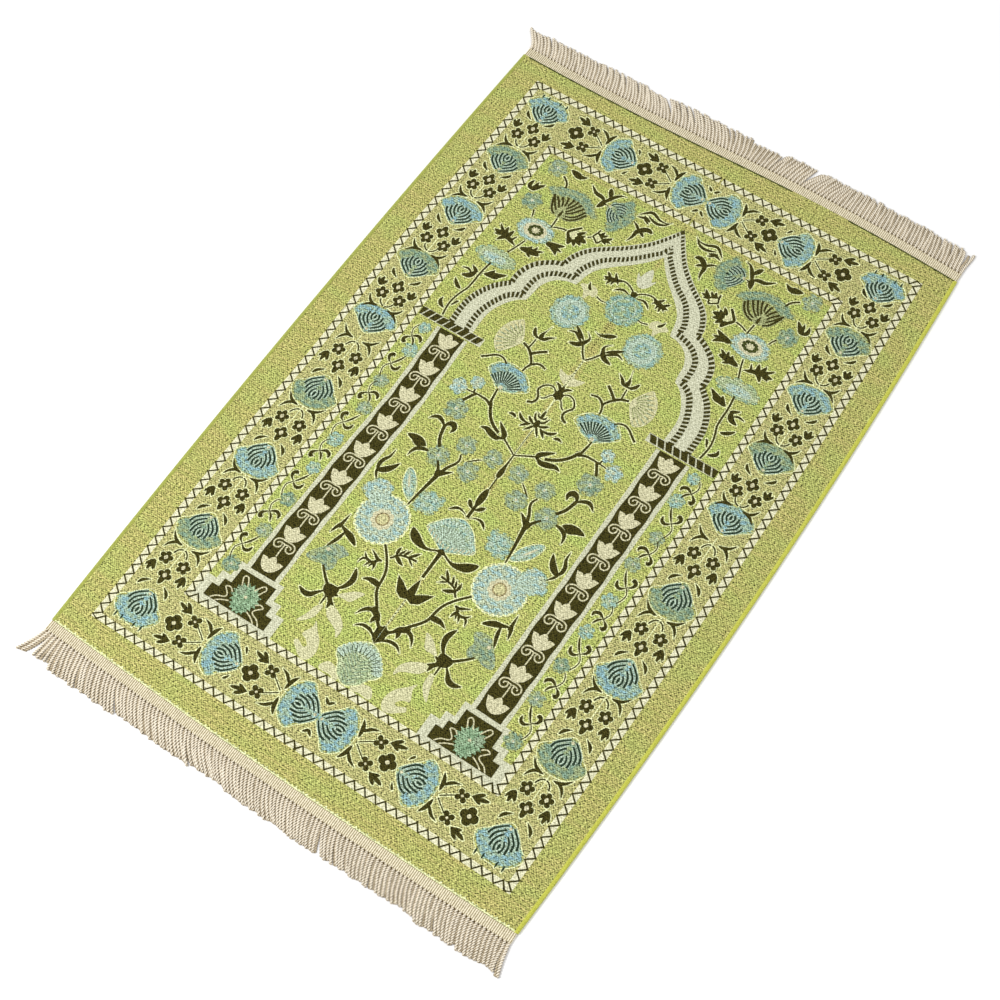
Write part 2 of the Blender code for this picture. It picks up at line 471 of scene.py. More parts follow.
def free_level(yarn, points):
    """The lowest level that no earlier figure of the yarn has where this one lies."""
    left, right = min(x for x, _ in points) - 1.0, max(x for x, _ in points) + 1.0
    near, far = min(y for _, y in points) - 1.0, max(y for _, y in points) + 1.0
    laid = figures_laid.setdefault(yarn, [])
    taken = {level for low_x, high_x, low_y, high_y, level in laid
             if low_x < right and high_x > left and low_y < far and high_y > near}
    level = min(set(range(len(taken) + 1)) - taken)
    laid.append((left, right, near, far, level))
    return level


def draw(yarn, shape, *values, edge=None, alone=False, **options):
    """Adds a figure to the yarn's part of the pattern, on both halves unless it stands alone.

    edge names the yarn of the thin line round it. Where figures of one yarn meet, each lies at
    a level of its own, so that they don't share a face.
    """
    if edge:
        draw(edge, shape, *values, alone=alone, grow=OUTLINE_WIDTH, **options)
    points, faces = shape(*values, **options)
    all_points, all_faces = pattern.setdefault(yarn, ([], []))
    lift = FIGURE_LIFT * min(free_level(yarn, points), LIFTS - 1)
    halves = [points] if alone else [points, [on_left_half(x, y) for x, y in points]]
    for number, half in enumerate(halves):
        start = len(all_points)
        all_points += [(x, y, lift + number * FIGURE_LIFT / 2) for x, y in half]
        for face in faces:
            area = sum(half[face[k - 1]][0] * half[face[k]][1]
                       - half[face[k]][0] * half[face[k - 1]][1] for k in range(len(face)))
            corners = face if area > 0 else tuple(reversed(face))
            all_faces.append(tuple(start + corner for corner in corners))


def weave(group):
    """Makes a thin raised piece of each yarn drawn since the last group of figures."""
    for yarn, (points, faces) in pattern.items():
        finish, record_slot, rise = FIGURE_YARNS[yarn]
        mesh = bpy.data.meshes.new(group + "_" + yarn)
        mesh.from_pydata([(x * MILLIMETRE + LAY_SHIFT_X, y * MILLIMETRE + LAY_SHIFT_Y,
                           CLOTH_FACE + (rise + lift) * MILLIMETRE) for x, y, lift in points],
                         [], faces)
        piece = bpy.data.objects.new(group + "_" + yarn, mesh)
        bpy.context.scene.collection.objects.link(piece)
        bpy.ops.object.select_all(action="DESELECT")
        bpy.context.view_layer.objects.active = piece
        piece.select_set(True)
        tufts = piece.modifiers.new("tufts", "SOLIDIFY")
        tufts.thickness = FIGURE_BODY
        tufts.offset = -1.0
        bpy.ops.object.modifier_apply(modifier=tufts.name)
        fit_out(piece, finish)
        on_cloth.append(piece)
    pattern.clear()


FIGURE_YARNS = {
    # yarn: finish, record slot, how far it stands above the ground in millimetres. From one yarn
    # to the next is more than the first one's levels take, so that no two yarns share a face.
    "field": (woven_finish("field_chenille", linear(176, 184, 98), streak=linear(190, 190, 110),
                           drifts=linear(178, 192, 102)), "chenille_cloth", 0.008),
    "tan": (woven_finish("tan_chenille", linear(180, 180, 112), streak=linear(190, 184, 120)),
            "chenille_cloth", 0.033),
    "band": (woven_finish("band_chenille", linear(236, 234, 192), depth=0.5), "cream_yarn", 0.062),
    "cream": (woven_finish("cream_chenille", linear(213, 214, 179), depth=0.5), "cream_yarn", 0.09),
    "soft": (woven_finish("soft_chenille", linear(214, 212, 162), depth=0.6), "cream_yarn", 0.12),
    "pale": (woven_finish("pale_chenille", linear(234, 238, 176), depth=0.7),
             "chenille_cloth", 0.15),
    "haze": (woven_finish("blue_haze", linear(150, 180, 146), LIME, 0.50), "blue_yarn", 0.175),
    "mirk": (woven_finish("teal_haze", linear(146, 164, 116), LIME, 0.50), "teal_yarn", 0.197),
    "sage": (woven_finish("sage_chenille", linear(166, 184, 134), linear(186, 198, 150), 0.50),
             "teal_yarn", 0.219),
    "grey": (woven_finish("grey_chenille", linear(146, 166, 136), linear(164, 176, 120), 0.50),
             "teal_yarn", 0.241),
    "teal": (woven_finish("teal_chenille", linear(126, 154, 126), linear(158, 172, 122), 0.50),
             "teal_yarn", 0.263),
    "sky": (woven_finish("sky_chenille", linear(148, 182, 164), linear(172, 190, 146), 0.50),
            "blue_yarn", 0.285),
    "powder": (woven_finish("powder_chenille", linear(160, 192, 180), linear(188, 200, 162), 0.50),
               "blue_yarn", 0.31),
    "aqua": (woven_finish("aqua_chenille", linear(134, 172, 154), linear(164, 182, 132), 0.50),
             "blue_yarn", 0.335),
    "blue": (woven_finish("blue_chenille", linear(136, 174, 172), linear(160, 184, 152), 0.50),
             "blue_yarn", 0.36),
    "mist": (woven_finish("mist_chenille", linear(184, 204, 176), depth=0.8), "teal_yarn", 0.39),
    "straw": (woven_finish("dull_chenille", linear(168, 174, 118)), "chenille_cloth", 0.415),
    "rib": (woven_finish("rib_chenille", linear(44, 62, 44)), "dark_yarn", 0.44),
    "dark": (woven_finish("dark_chenille", linear(66, 62, 22)), "dark_yarn", 0.465),
    "star": (woven_finish("star_chenille", linear(124, 154, 114), linear(152, 180, 138), 0.50),
             "teal_yarn", 0.49),
    "moss": (woven_finish("moss_chenille", linear(146, 166, 130)), "teal_yarn", 0.515),
    "bright": (woven_finish("bright_chenille", linear(214, 210, 166), depth=0.6),
               "cream_yarn", 0.54),
    "olive": (woven_finish("olive_chenille", linear(72, 78, 34)), "dark_yarn", 0.565),
    "tanline": (woven_finish("brown_chenille", linear(160, 146, 100)), "cream_yarn", 0.59),
    "yellow": (woven_finish("straw_chenille", linear(208, 204, 146), depth=0.7),
               "cream_yarn", 0.615),
}

# ---- The zigzag bands ------------------------------------------------------------------------
# Two narrow cream bands run right round the cloth, one near its rim and one inside the border.
# A thin dark zigzag goes along each and turns its corners.
BAND_WIDTH = 9.6
ZIGZAG_DEPTH = 9.6
ZIGZAG_LINE = 1.9
ZIGZAG_SLANT = math.radians(50)
BANDS = (
    # distance from the axis, near end, far end, teeth along half an end, teeth along a side
    (309.0, -488.5, 493.0, 20, 62),
    (230.5, -399.5, 411.0, 15, 51),
)
SIDE_STRETCH = 22.0      # the teeth along a side are longer near the near end
END_STEPS = 12           # the short faces of a band along half an end, and along a side
SIDE_STEPS = 40

for distance, near_end, far_end, end_teeth, side_teeth in BANDS:
    inner, outer = -ZIGZAG_DEPTH / 2, ZIGZAG_DEPTH / 2
    corner = 2 * outer / 3
    ring = []
    for step in range(2 * end_teeth + 1):
        y = near_end - (outer if step % 2 == 0 else inner)
        ring.append((across((distance - corner) * step / (2 * end_teeth), y), y))
    for step in range(2 * side_teeth + 1):
        share = step / (2 * side_teeth)
        low, high = near_end - corner / 2, far_end + corner / 2
        y = low + (high - low) * share + SIDE_STRETCH * share * (1 - share)
        ring.append((across(distance + (outer if step % 2 == 0 else inner), y), y))
    for step in range(2 * end_teeth, -1, -1):
        y = far_end + (outer if step % 2 == 0 else inner)
        ring.append((across((distance - corner) * step / (2 * end_teeth), y), y))
    halves = [ZIGZAG_LINE / 2 / math.cos(ZIGZAG_SLANT)] * len(ring)
    draw("dark", ribbon, ring, halves, 0.0)

    near_row, far_row = (
        [(across(distance * step / END_STEPS, y), y) for step in range(END_STEPS + 1)]
        for y in (near_end, far_end))
    side_places = (near_end + (far_end - near_end) * step / SIDE_STEPS
                   for step in range(1, SIDE_STEPS))
    path = near_row + [(across(distance, y), y) for y in side_places] + far_row[::-1]
    corners = (END_STEPS, END_STEPS + SIDE_STEPS)
    widths = [BAND_WIDTH / 2 * (math.sqrt(2) if number in corners else 1.0)
              for number in range(len(path))]
    draw("band", ribbon, path, widths, 0.0)

# Between the inner band's sides the ground is a shade greener than the margins.
FIELD_MIDDLE = 114.0
FIELD_HALF = 113.8
ground = [(across(FIELD_MIDDLE, y), y) for y in range(-395, 408, 11)]
draw("field", ribbon, ground, [FIELD_HALF] * len(ground), 0.0)
weave("bands")

# ---- The border ------------------------------------------------------------------------------
# Between the bands the ground is a tanner dye. Along it stand fan palmettes, blue and teal by
# turns, with sprigs of small dark leaves, tulips and open flowers between them.
SIDE_ROW = 270.0
LOWER_ROW = -443.5
UPPER_ROW = 452.0
FAR_SQUEEZE = 0.84       # the figures of the far half are woven shorter
LINE_REACH = 3.6         # how far a pale line, and a haze, reach past a figure of mixed floats
HAZE_REACH = 2.4


def mosaic(yarn, haze, shape, *values, line=True, **options):
    """A figure of mixed floats, with a thin haze round it and perhaps a pale line round that."""
    if line:
        draw("pale", shape, *values, grow=LINE_REACH, **options)
    draw(haze, shape, *values, grow=HAZE_REACH, **options)
    draw(yarn, shape, *values, **options)


def dark_leaves(*leaves):
    """Pale-edged dark leaves: the points, the width and the fullest place of each."""
    for points, width, fullest in leaves:
        draw("dark", leaf, points, width, fullest, edge="pale")


def dark_stems(*stems):
    """Pale-edged dark stems: the points and the two end widths of each."""
    for points, width, end_width in stems:
        draw("dark", stem, points, width, end_width, edge="pale")


def folded(half, middle=0.0):
    """A closed outline from its right half, which starts and ends on the middle line."""
    return [*half, *((2 * middle - x, y) for x, y in reversed(half[1:-1]))]


def palmette(x, y, turn, wide, high, yarn):
    """A fan that opens downwards from its apex at (x, y), with nested dark ribs and a drop."""
    body = folded(((0, 0.5), (6, -2.5), (14, -10), (21, -18), (29, -24.5), (30.5, -29),
                   (25, -39), (14, -46.5), (0, -48.5)))
    body = placed(body, x, y, turn, wide, high)
    mosaic(yarn, "haze" if yarn == "blue" else "mirk", patch, body)
    ribs = (
        ((3.5, -1), (11, -7), (17.5, -14), (20, -22)),
        ((3, -7), (8.5, -12), (13.5, -18), (15, -27)),
        ((2.5, -13), (7, -18), (10, -25), (10.5, -34)),
        ((2, -21), (5, -26), (5.2, -31), (3, -36)),
    )
    for side in (1, -1):
        for rib in ribs:
            points = placed([(side * px, py) for px, py in rib], x, y, turn, wide, high)
            draw("mist", stem, points, 4.4, 5.0)
            draw("rib", stem, points, 2.3, 3.1)
    drop = placed(((0, -24.5), (0, -34)), x, y, turn, wide, high)
    draw("mist", leaf, drop, 6.0, grow=1.0)
    draw("rib", leaf, drop, 3.6)
    draw("bright", rosette, placed([(0, -3.5)], x, y, turn, wide, high)[0], 2.2, 4, 0.3)


def side_sprig(x, y, high):
    """Leaves, flowers and tulips between two palmettes; high is -1 where they face downwards."""
    draw("pale", stem, placed(((0, 8), (0, -38)), x, y, 0.0, 1.0, high), 1.5)
    for side in (1, -1):
        def put(*points):
            """Points of the sprig's right side, on the side that is being drawn."""
            return placed([(side * px, py) for px, py in points], x, y, 0.0, 1.0, high)

        dark_leaves((put((7.2, -0.4), (14, 0.4), (21, 4), (28, 12.2)), 4.4, 0.45),
                    (put((12, 0.2), (18, -1.5), (23, -6.5), (26.6, -14)), 4.2, 0.4))
        dark_stems((put((1, -4.5), (5, -6.5), (8, -10), (9.8, -14.5)), 1.9, 1.9))
        flower = put((13.8, -25))[0]
        draw("dark", rosette, flower, 9.6, 5, 0.40, 90.0 * high, edge="pale")
        draw("bright", rosette, flower, 2.5, 4, 0.2, high=1.3)
        tulip = put((20.7, -35.5), (24.2, -34.3), (28.2, -38), (31, -44.5), (29.8, -48),
                    (27.4, -44.8), (25.4, -52), (23.2, -51), (21.6, -45), (17.9, -48.5),
                    (16.2, -45), (18.2, -40.5))
        draw("dark", patch, tulip, False, edge="pale")
        dark_leaves((put((10.3, -60), (16.2, -64), (19.9, -68), (22, -73.5)), 4.4, 0.55))
    centre = placed([(-0.6, -46)], x, y, 0.0, 1.0, high)[0]
    draw("dark", rosette, centre, 9.6, 4, 0.42, edge="pale")
    dark_leaves((placed(((-0.6, -51), (-0.6, -60)), x, y, 0.0, 1.0, high), 7.0, 0.4))
    draw("bright", rosette, centre, 2.8, 4, 0.15, high=1.25)


for y in (18.0, -105.0, -226.5, -351.5):
    side_sprig(across(SIDE_ROW, y), y, 1.0)
for y in (75.0, 179.0, 284.0, 387.0):
    side_sprig(across(SIDE_ROW, y), y, -FAR_SQUEEZE)
for y, high, yarn in (
        (-425.0, 1.0, "blue"), (-296.5, 1.0, "teal"), (-174.0, 1.0, "blue"), (-51.5, 1.0, "teal"),
        (35.0, -FAR_SQUEEZE, "blue"), (137.0, -FAR_SQUEEZE, "teal"),
        (238.5, -FAR_SQUEEZE, "blue"), (342.0, -FAR_SQUEEZE, "teal"),
        (440.0, -FAR_SQUEEZE, "blue")):
    palmette(across(SIDE_ROW, y), y, 0.0, 1.0, high, yarn)
for y, high in ((-425.0, 1.0), (440.0, -FAR_SQUEEZE)):
    for offset in (-20.0, -9.5, 9.5, 19.0):
        tick = placed(((offset, -44), (offset, -52.5)), across(SIDE_ROW, y), y, high=high)
        draw("rib", leaf, tick, 2.4, edge="pale")


def end_sprig(start, row, wide, high):
    """The same sprig laid along an end of the cloth, past the palmette whose apex is at start."""
    for side in (1, -1):
        def put(*points):
            """Points of the sprig's far side, on the side that is being drawn."""
            return placed([(px, side * py) for px, py in points], start, row, 0.0, wide, high)

        dark_leaves((put((47, 28.5), (52, 19), (54, 6)), 5.4, 0.55),
                    (put((72, 27), (62, 23), (53.5, 14)), 4.4, 0.6))
        dark_stems((put((57.5, 1.5), (65, 7), (74, 13)), 1.5, 1.5))
        flower = put((80.5, 16))[0]
        draw("dark", rosette, flower, 9.4, 4, 0.58, 40.0, edge="pale")
        draw("bright", rosette, flower, 1.8, 4, 0.2)
        dark_leaves((put((90, 22), (97, 27.5), (103.5, 32.5)), 5.0, 0.6),
                    (put((90, 22), (101, 24), (112, 27.5)), 5.4, 0.6),
                    (put((90, 22), (97, 21.5), (104, 18.5)), 4.6, 0.6))
        if start < 100:
            dark_leaves((put((126, 25), (123.5, 22), (120.5, 17)), 3.2, 0.45))
    centre = placed([(101.5, 0)], start, row, 0.0, wide, high)[0]
    draw("dark", rosette, centre, 12.4, 4, 0.33, 0.0, high, edge="pale")
    draw("bright", rosette, centre, 2.8, 4, 0.15)


for row, wide, high in ((LOWER_ROW, 1.0, 1.0), (UPPER_ROW, 0.965, 0.94)):
    for start in (4.5, 4.5 + 119.0 * wide):
        palmette(start, row, 90.0, high, wide, "blue")
        end_sprig(start, row, wide, high)
    for side in (1, -1):
        tick = placed(((0, 19), (7, 26)), design_axis(row), row, high=side * high)
        dark_leaves((tick, 4.0, 0.35))

# The tanner ground: a strip along the side and one along each end.
SIDE_GROUND = (269.75, 34.0)                          # its middle and half its width
END_GROUNDS = ((-444.0, 40.0), (452.0, 36.0))
END_GROUND_REACH = 236.0
near_end, far_end = BANDS[0][1:3]
ground = []
for step in range(SIDE_STEPS + 1):
    y = near_end + (far_end - near_end) * step / SIDE_STEPS
    ground.append((across(SIDE_GROUND[0], y), y))
draw("tan", ribbon, ground, [SIDE_GROUND[1]] * len(ground), 0.0)
for row, half in END_GROUNDS:
    ground = [(across(END_GROUND_REACH * step / END_STEPS, row), row)
              for step in range(END_STEPS + 1)]
    draw("tan", ribbon, ground, [half] * len(ground), 0.0)
weave("border")

# ---- The columns -----------------------------------------------------------------------------
# Two dark columns edged in cream carry the niche. Cream tulips stand one on another up each of
# them, joined by double scrolls. A stepped base is below and a slanted rope bar on top.
COLUMN = 167.5
TULIP_PITCH = 48.7
TULIP_TIPS = (-299.8, -250.2, -200.4, -151.2, -102.2, -52.9, -3.8, 43.0, 89.7)
COLUMN_FOOT = -329.0
COLUMN_TOP = 91.5
COLUMN_SWAY = ((-400, 0), (-260, 0), (-200, -1.2), (-140, -1.3), (-80, -2.1), (-20, -2.5),
               (40, -2.0), (100, -2.0))
COLUMN_STEPS = 56
COLUMN_HALF = 25.0
DARK_HALF = 18.9
DARK_WAVE = 0.7          # the dark's edges swell a little from tulip to tulip

line = []
for step in range(COLUMN_STEPS + 1):
    y = COLUMN_FOOT + (COLUMN_TOP - COLUMN_FOOT) * step / COLUMN_STEPS
    line.append((across(COLUMN, y) + 0.5 + level_at(COLUMN_SWAY, y), y))
draw("cream", ribbon, line, [COLUMN_HALF] * len(line), 0.0)
wavy = [DARK_HALF + DARK_WAVE * math.sin(math.tau * (y + 262.0) / TULIP_PITCH) for _, y in line]
draw("dark", ribbon, line, wavy, 0.0)

for tip in TULIP_TIPS:
    x = across(COLUMN, tip) + 0.3 + level_at(COLUMN_SWAY, tip)
    tulip = folded(((0, 0), (4, -3.5), (6, -7.5), (9, -5.5), (16, -6), (13.5, -13), (10.5, -18.5),
                    (5, -23), (0, -24)))
    draw("bright", patch, placed(tulip, x, tip), False)
    if tip != TULIP_TIPS[0]:
        for side in (1, -1):
            volute = ((0, -24.8), (8, -24.6), (13.5, -27.5), (15, -33), (11.5, -37.6),
                      (6.5, -37.3), (3.8, -33.5), (4.4, -30))
            curl = ((0.5, -29.3), (6, -29), (9.8, -30.6), (9.6, -33))
            draw("bright", stem, placed(volute, x, tip, wide=side), 1.9)
            draw("bright", stem, placed(curl, x, tip, wide=side), 1.6)
        draw("bright", stem, placed(((0, -29), (0.4, -38), (0, -49)), x, tip), 1.8)

# The stepped base: the half width and the top of each step, from the top one down.
CREAM_STEPS = ((33.5, -328.0), (46.0, -351.0), (59.5, -364.0))
DARK_STEPS = ((26.5, -336.0), (36.5, -359.0), (46.8, -372.0))
x = across(COLUMN, -370) + 0.8
for steps, foot, yarn in ((CREAM_STEPS, -399.0, "cream"), (DARK_STEPS, -390.5, "dark")):
    right = []
    for (half, top), (_, next_top) in zip(steps, (*steps[1:], (0.0, foot))):
        right += [(half, top), (half, next_top)]
    left = [(-px, py) for px, py in reversed(right)]
    draw(yarn, patch, placed(right + left, x, 0), False)
draw("star", spiky, (x - 1, -366.0), 20.5, 17, 0.26, 70.0)
draw("star", spiky, (x - 1, -377.0), 14.5, 13, 0.24, 90.0)
draw("moss", spiky, (x + 9, -361.0), 8.0, 9, 0.35)
draw("bright", spiky, (x - 1, -366.0), 3.0, 6, 0.45)
for side in (1, -1):
    for path in (
            ((5, -353), (10.5, -343.5), (14.5, -341), (17.5, -344), (15.5, -349), (12.5, -355)),
            ((17.5, -368.5), (23.5, -364.5), (29, -366.5), (24.5, -371), (20.5, -376),
             (23, -380), (31.5, -383.5), (37.5, -390)),
            ((14, -381), (23, -385), (30, -390))):
        draw("bright", stem, placed(path, x, 0, wide=side), 1.7)
weave("columns")

# ---- The rope bars and the arch --------------------------------------------------------------
# A bar of slanted dark blocks crosses the top of each column, on cream. From there a cusped
# cream arch rises to its point, with a row of short dark bars along each of its two edges.
BAR_START = 129.5
BAR_END = 230.5
BAR_HALF = 6.7
BLOCK_PITCH = 11.6
BLOCK_WIDTH = 9.6
BLOCK_SLANT = 6.0
BLOCKS_END = 232.5
line = [(BAR_START + (BAR_END - BAR_START) * step / END_STEPS, 99.6 + 0.15 * step)
        for step in range(END_STEPS + 1)]
draw("cream", ribbon, line, [BAR_HALF] * len(line), 0.0)
for block in range(9):
    left = BAR_START + 1.0 + BLOCK_PITCH * block
    right = min(left + BLOCK_WIDTH, BLOCKS_END)
    foot, top = 94.5 + 0.12 * block, 105.3 + 0.25 * block
    slanted = ((left + BLOCK_SLANT, foot), (min(right + BLOCK_SLANT - 0.4, BLOCKS_END), foot),
               (right, top), (left, top))
    draw("dark", patch, slanted, False)

OUTER_ROW = (
    # each run goes from one cusp to the next: its line, the cream's outer edge, bar lengths
    (((185.5, 108), (186.3, 124), (186, 137), (184, 149), (180.5, 160), (175, 172),
      (167.5, 183.5), (158.5, 192.5), (151.5, 199)), 8.4, 8.2, 18),
    (((149.8, 204), (150.2, 211), (149, 220), (145.5, 231), (138, 242.5), (128.5, 250.5),
      (117, 258), (107.5, 261.5)), 7.8, 7.6, 12),
    (((105, 266.5), (103.5, 275), (99.5, 284), (94.5, 293), (86.5, 302), (75, 311.5),
      (59, 323), (44, 335.5), (31, 348.5), (18, 366), (8.5, 380.5), (3.5, 390)), 7.4, 4.6, 28),
)
INNER_ROW = (
    (((160.5, 107.5), (161.8, 123), (161, 137), (158.5, 148), (154.5, 159), (149, 170.5),
      (143, 180), (134, 187), (126, 190.5)), 8.2, 8.6, 17),
    (((126.2, 196), (126.5, 206), (125.5, 219), (121.5, 230), (113.5, 238.5), (103, 245),
      (93, 248.5), (82.5, 251)), 7.8, 8.2, 14),
    (((82, 257), (82, 265), (78.5, 275), (73.5, 284.5), (66, 295), (55, 304), (44, 311.5),
      (31, 323), (18, 337), (9, 347)), 8.2, 7.0, 22),
)
CREAM_OUTER = (
    ((190, 105), (190.8, 124), (190.5, 137), (188.5, 149.5), (185, 161.5), (179, 174),
     (171, 186), (161.5, 195.5), (154.8, 200)),
    ((154, 203), (154.6, 211.5), (153.3, 221), (149.5, 233), (141, 245.8), (131, 254),
     (119, 261.5), (110.5, 265)),
    ((109, 268), (108, 276), (104, 286), (98.5, 296), (90, 305.5), (78, 315), (62, 326.5),
     (47, 339), (34, 352), (21, 369), (11, 384), (2.2, 396)),
)
CREAM_INNER = (
    ((150, 105), (150.3, 122), (150, 136), (148, 147), (144.5, 156.5), (139, 166.5),
     (132.5, 175.5), (124.5, 183), (117, 187)),
    ((115.5, 192), (114.5, 202), (113.5, 213), (109.5, 223), (103.5, 231.5), (95.5, 237.5),
     (85.5, 241.5), (74, 243)),
    ((72, 250), (70.5, 260), (67.5, 270), (63, 278), (56, 286.5), (47, 295), (37.5, 303.5),
     (28.5, 311.5), (20.5, 319.5), (13, 328), (7, 336), (2.2, 343)),
)


BAR_SHARE = 0.29         # half a bar's thickness, as a share of the pitch of its row
BAR_SKEW = 0.8


def facing_band(inner_line, outer_line, grow=0.0):
    """A band between two lines that have as many points as each other."""
    count = len(inner_line)
    return inner_line + outer_line, [(k, k + 1, count + k + 1, count + k)
                                     for k in range(count - 1)]


inner_line, outer_line = [], []
for run in range(3):
    inner_line += curve_through(CREAM_INNER[run])
    outer_line += curve_through(CREAM_OUTER[run])
draw("cream", facing_band, inner_line, outer_line)

for row in (OUTER_ROW, INNER_ROW):
    for path, first_length, last_length, count in row:
        line = curve_through(path, 8)
        reaches = [0.0]
        for before, after in zip(line, line[1:]):
            reaches.append(reaches[-1] + math.dist(before, after))
        for bar in range(count):
            share = bar / (count - 1)
            wanted = reaches[-1] * share
            piece = max(k for k in range(len(line) - 1) if reaches[k] <= wanted or k == 0)
            part = (wanted - reaches[piece]) / (reaches[piece + 1] - reaches[piece])
            start, end = line[piece], line[piece + 1]
            heading = math.degrees(math.atan2(end[1] - start[1], end[0] - start[0])) - 90.0
            x = start[0] + (end[0] - start[0]) * part
            y = start[1] + (end[1] - start[1]) * part
            half = 0.5 * (first_length + (last_length - first_length) * share)
            rise = reaches[-1] / (count - 1) * BAR_SHARE
            corners = ((-half, -rise - BAR_SKEW), (half, -rise + BAR_SKEW),
                       (half, rise + BAR_SKEW), (-half, rise - BAR_SKEW))
            draw("dark", patch, placed(corners, x, y, heading), False)
draw("dark", leaf, ((2.4, 388), (2.2, 392), (2.0, 396)), 3.0, alone=True)
draw("dark", leaf, ((2.6, 349.5), (6, 353), (8.5, 357)), 4.0, 0.6)
draw("dark", leaf, ((2.6, 357.5), (4, 359), (5.6, 361.5)), 2.2)
draw("dark", leaf, ((2.2, 362.5), (2.2, 366)), 1.8, alone=True)
weave("arch")

# ---- The garden inside the niche -------------------------------------------------------------
# One plant grows up the axis, the same on both sides: thistle, tulip, domed palmette, buds and
# fans on thorny dark stems, with speckled blue flowers and pale ghost leaves between them.


def speckled_flower(x, y, radius, yarn, high=1.0, alone=False):
    """A fuzzy flower head with a pale eye."""
    turn = 37.0 * x
    haze = "mirk" if yarn in ("grey", "teal") else "haze"
    draw(haze, rosette, (x, y), radius * 1.12, 6, 0.34, turn, high, alone=alone)
    draw(yarn, rosette, (x, y), radius, 5, 0.3, turn + 50.0, high, alone=alone)
    draw(yarn, spiky, (x, y), radius * 0.86, 13, 0.2, turn, high, alone=alone)
    draw("mist", spiky, (x, y), radius * 0.3, 5, 0.5, turn, high, alone=alone)
    draw("bright", rosette, (x, y), radius * 0.13, 5, 0.3, high=high, alone=alone)


# The pale line up the axis, dotted with dark, and the thistle at its foot.
axis_line = [(level_at(AXIS_WANDER, y), y) for y in range(-300, 151, 10)]
draw("pale", ribbon, axis_line, [1.3] * len(axis_line), 0.0, alone=True)
draw("dark", stem, ((0.6, -18), (1.4, -50), (2.0, -80)), 1.7, alone=True)
draw("dark", stem, ((0.6, 24), (0.7, 3), (0.7, -18)), 0.8, alone=True)
for y in (*range(-298, -262, 5), *range(-222, -196, 5), *range(104, 148, 5)):
    x = level_at(AXIS_WANDER, y)
    draw("dark", stem, ((x, y), (x, y + 2.4)), 1.3, alone=True)
for y in range(170, 222, 5):
    draw("dark", stem, ((-2.2, y), (-2.2, y + 2.4)), 1.2, alone=True)

thistle = ((2.5, -331), (12, -334), (22, -341), (30, -350), (35, -358), (32, -366), (25, -372),
           (20, -382), (12, -389), (2.5, -393))
draw("sage", patch, folded(thistle, 2.5), edge="pale", alone=True)
heart = (2.5, -371)
for number in range(-6, 7):
    heading = math.radians(90 + 11.5 * number)
    draw("mist", leaf, (around(heart, heading, 21, 22), around(heart, heading, 36, 38)), 6.8, 0.62,
         alone=True)
    heading = math.radians(90 + 11.5 * (number + 0.5))
    draw("rib", stem, (around(heart, heading, 21, 22), around(heart, heading, 31, 33)), 0.8, 1.1,
         alone=True)
for step in range(7):
    y = -353 - 5.4 * step
    reach = 21 - 1.9 * step
    draw("moss", stem, ((3.4, y - 6), (3.4 + reach, y + reach * 0.72 - 4)), 1.9, 1.2)
soft_leaves = (
    ((12, -388), (20, -381), (34, -378), (42, -388), (38, -393), (24, -392), (15, -396)),
    ((79, -343), (78, -352), (84, -366), (76, -370), (70, -376), (73, -380), (84, -375),
     (87, -380), (80, -386), (72, -392), (62, -394), (56, -387), (55, -376), (60, -363),
     (70, -353)),
    ((46, -349), (45, -338), (50, -328), (62, -319), (74, -315), (77.5, -322), (72, -331),
     (62, -336), (52, -341)),
    ((49, -281), (60, -284), (70, -292), (77, -300), (68, -301), (59, -300), (53, -290)),
    ((84, -322), (91, -326), (95, -340), (101, -356), (91, -349), (84, -338)),
    ((0, 105), (8, 107), (14, 112), (19, 122), (12, 120), (4, 119), (0, 126)),
    ((42, 247), (50, 254), (62, 252), (69, 247), (60, 240), (54, 228), (50, 238), (44, 238)),
)
for outline in soft_leaves:
    draw("soft", patch, outline)

# The thorny stems of the vase.
draw("dark", patch, ((2.5, -302), (6, -305.5), (11.5, -306), (10, -314), (10.5, -321.5),
                     (2.5, -329)), False, edge="pale")
draw("mist", rosette, (2.5, -316), 4.0, 4, 0.3, alone=True)
dark_stems(
    (((10, -307.5), (18, -299.5), (28, -285.5), (36.5, -274.5), (41, -265), (43, -250),
      (47, -238), (56, -224.5), (68, -211)), 4.2, 3.0),
)
dark_leaves(
    (((12, -306), (18, -298), (27, -292), (29, -288)), 8.5, 0.55),
    (((18, -298), (21, -303), (21.5, -309)), 6.5, 0.3),
    (((23, -293), (33, -294.5), (39.5, -300), (44, -308.5)), 5.4, 0.3),
    (((8, -322), (16, -317), (25, -316), (31, -318), (36.5, -322.5)), 4.6, 0.4),
    (((40, -262.5), (49, -261), (57, -261.5), (64.5, -265)), 8.0, 0.3),
)

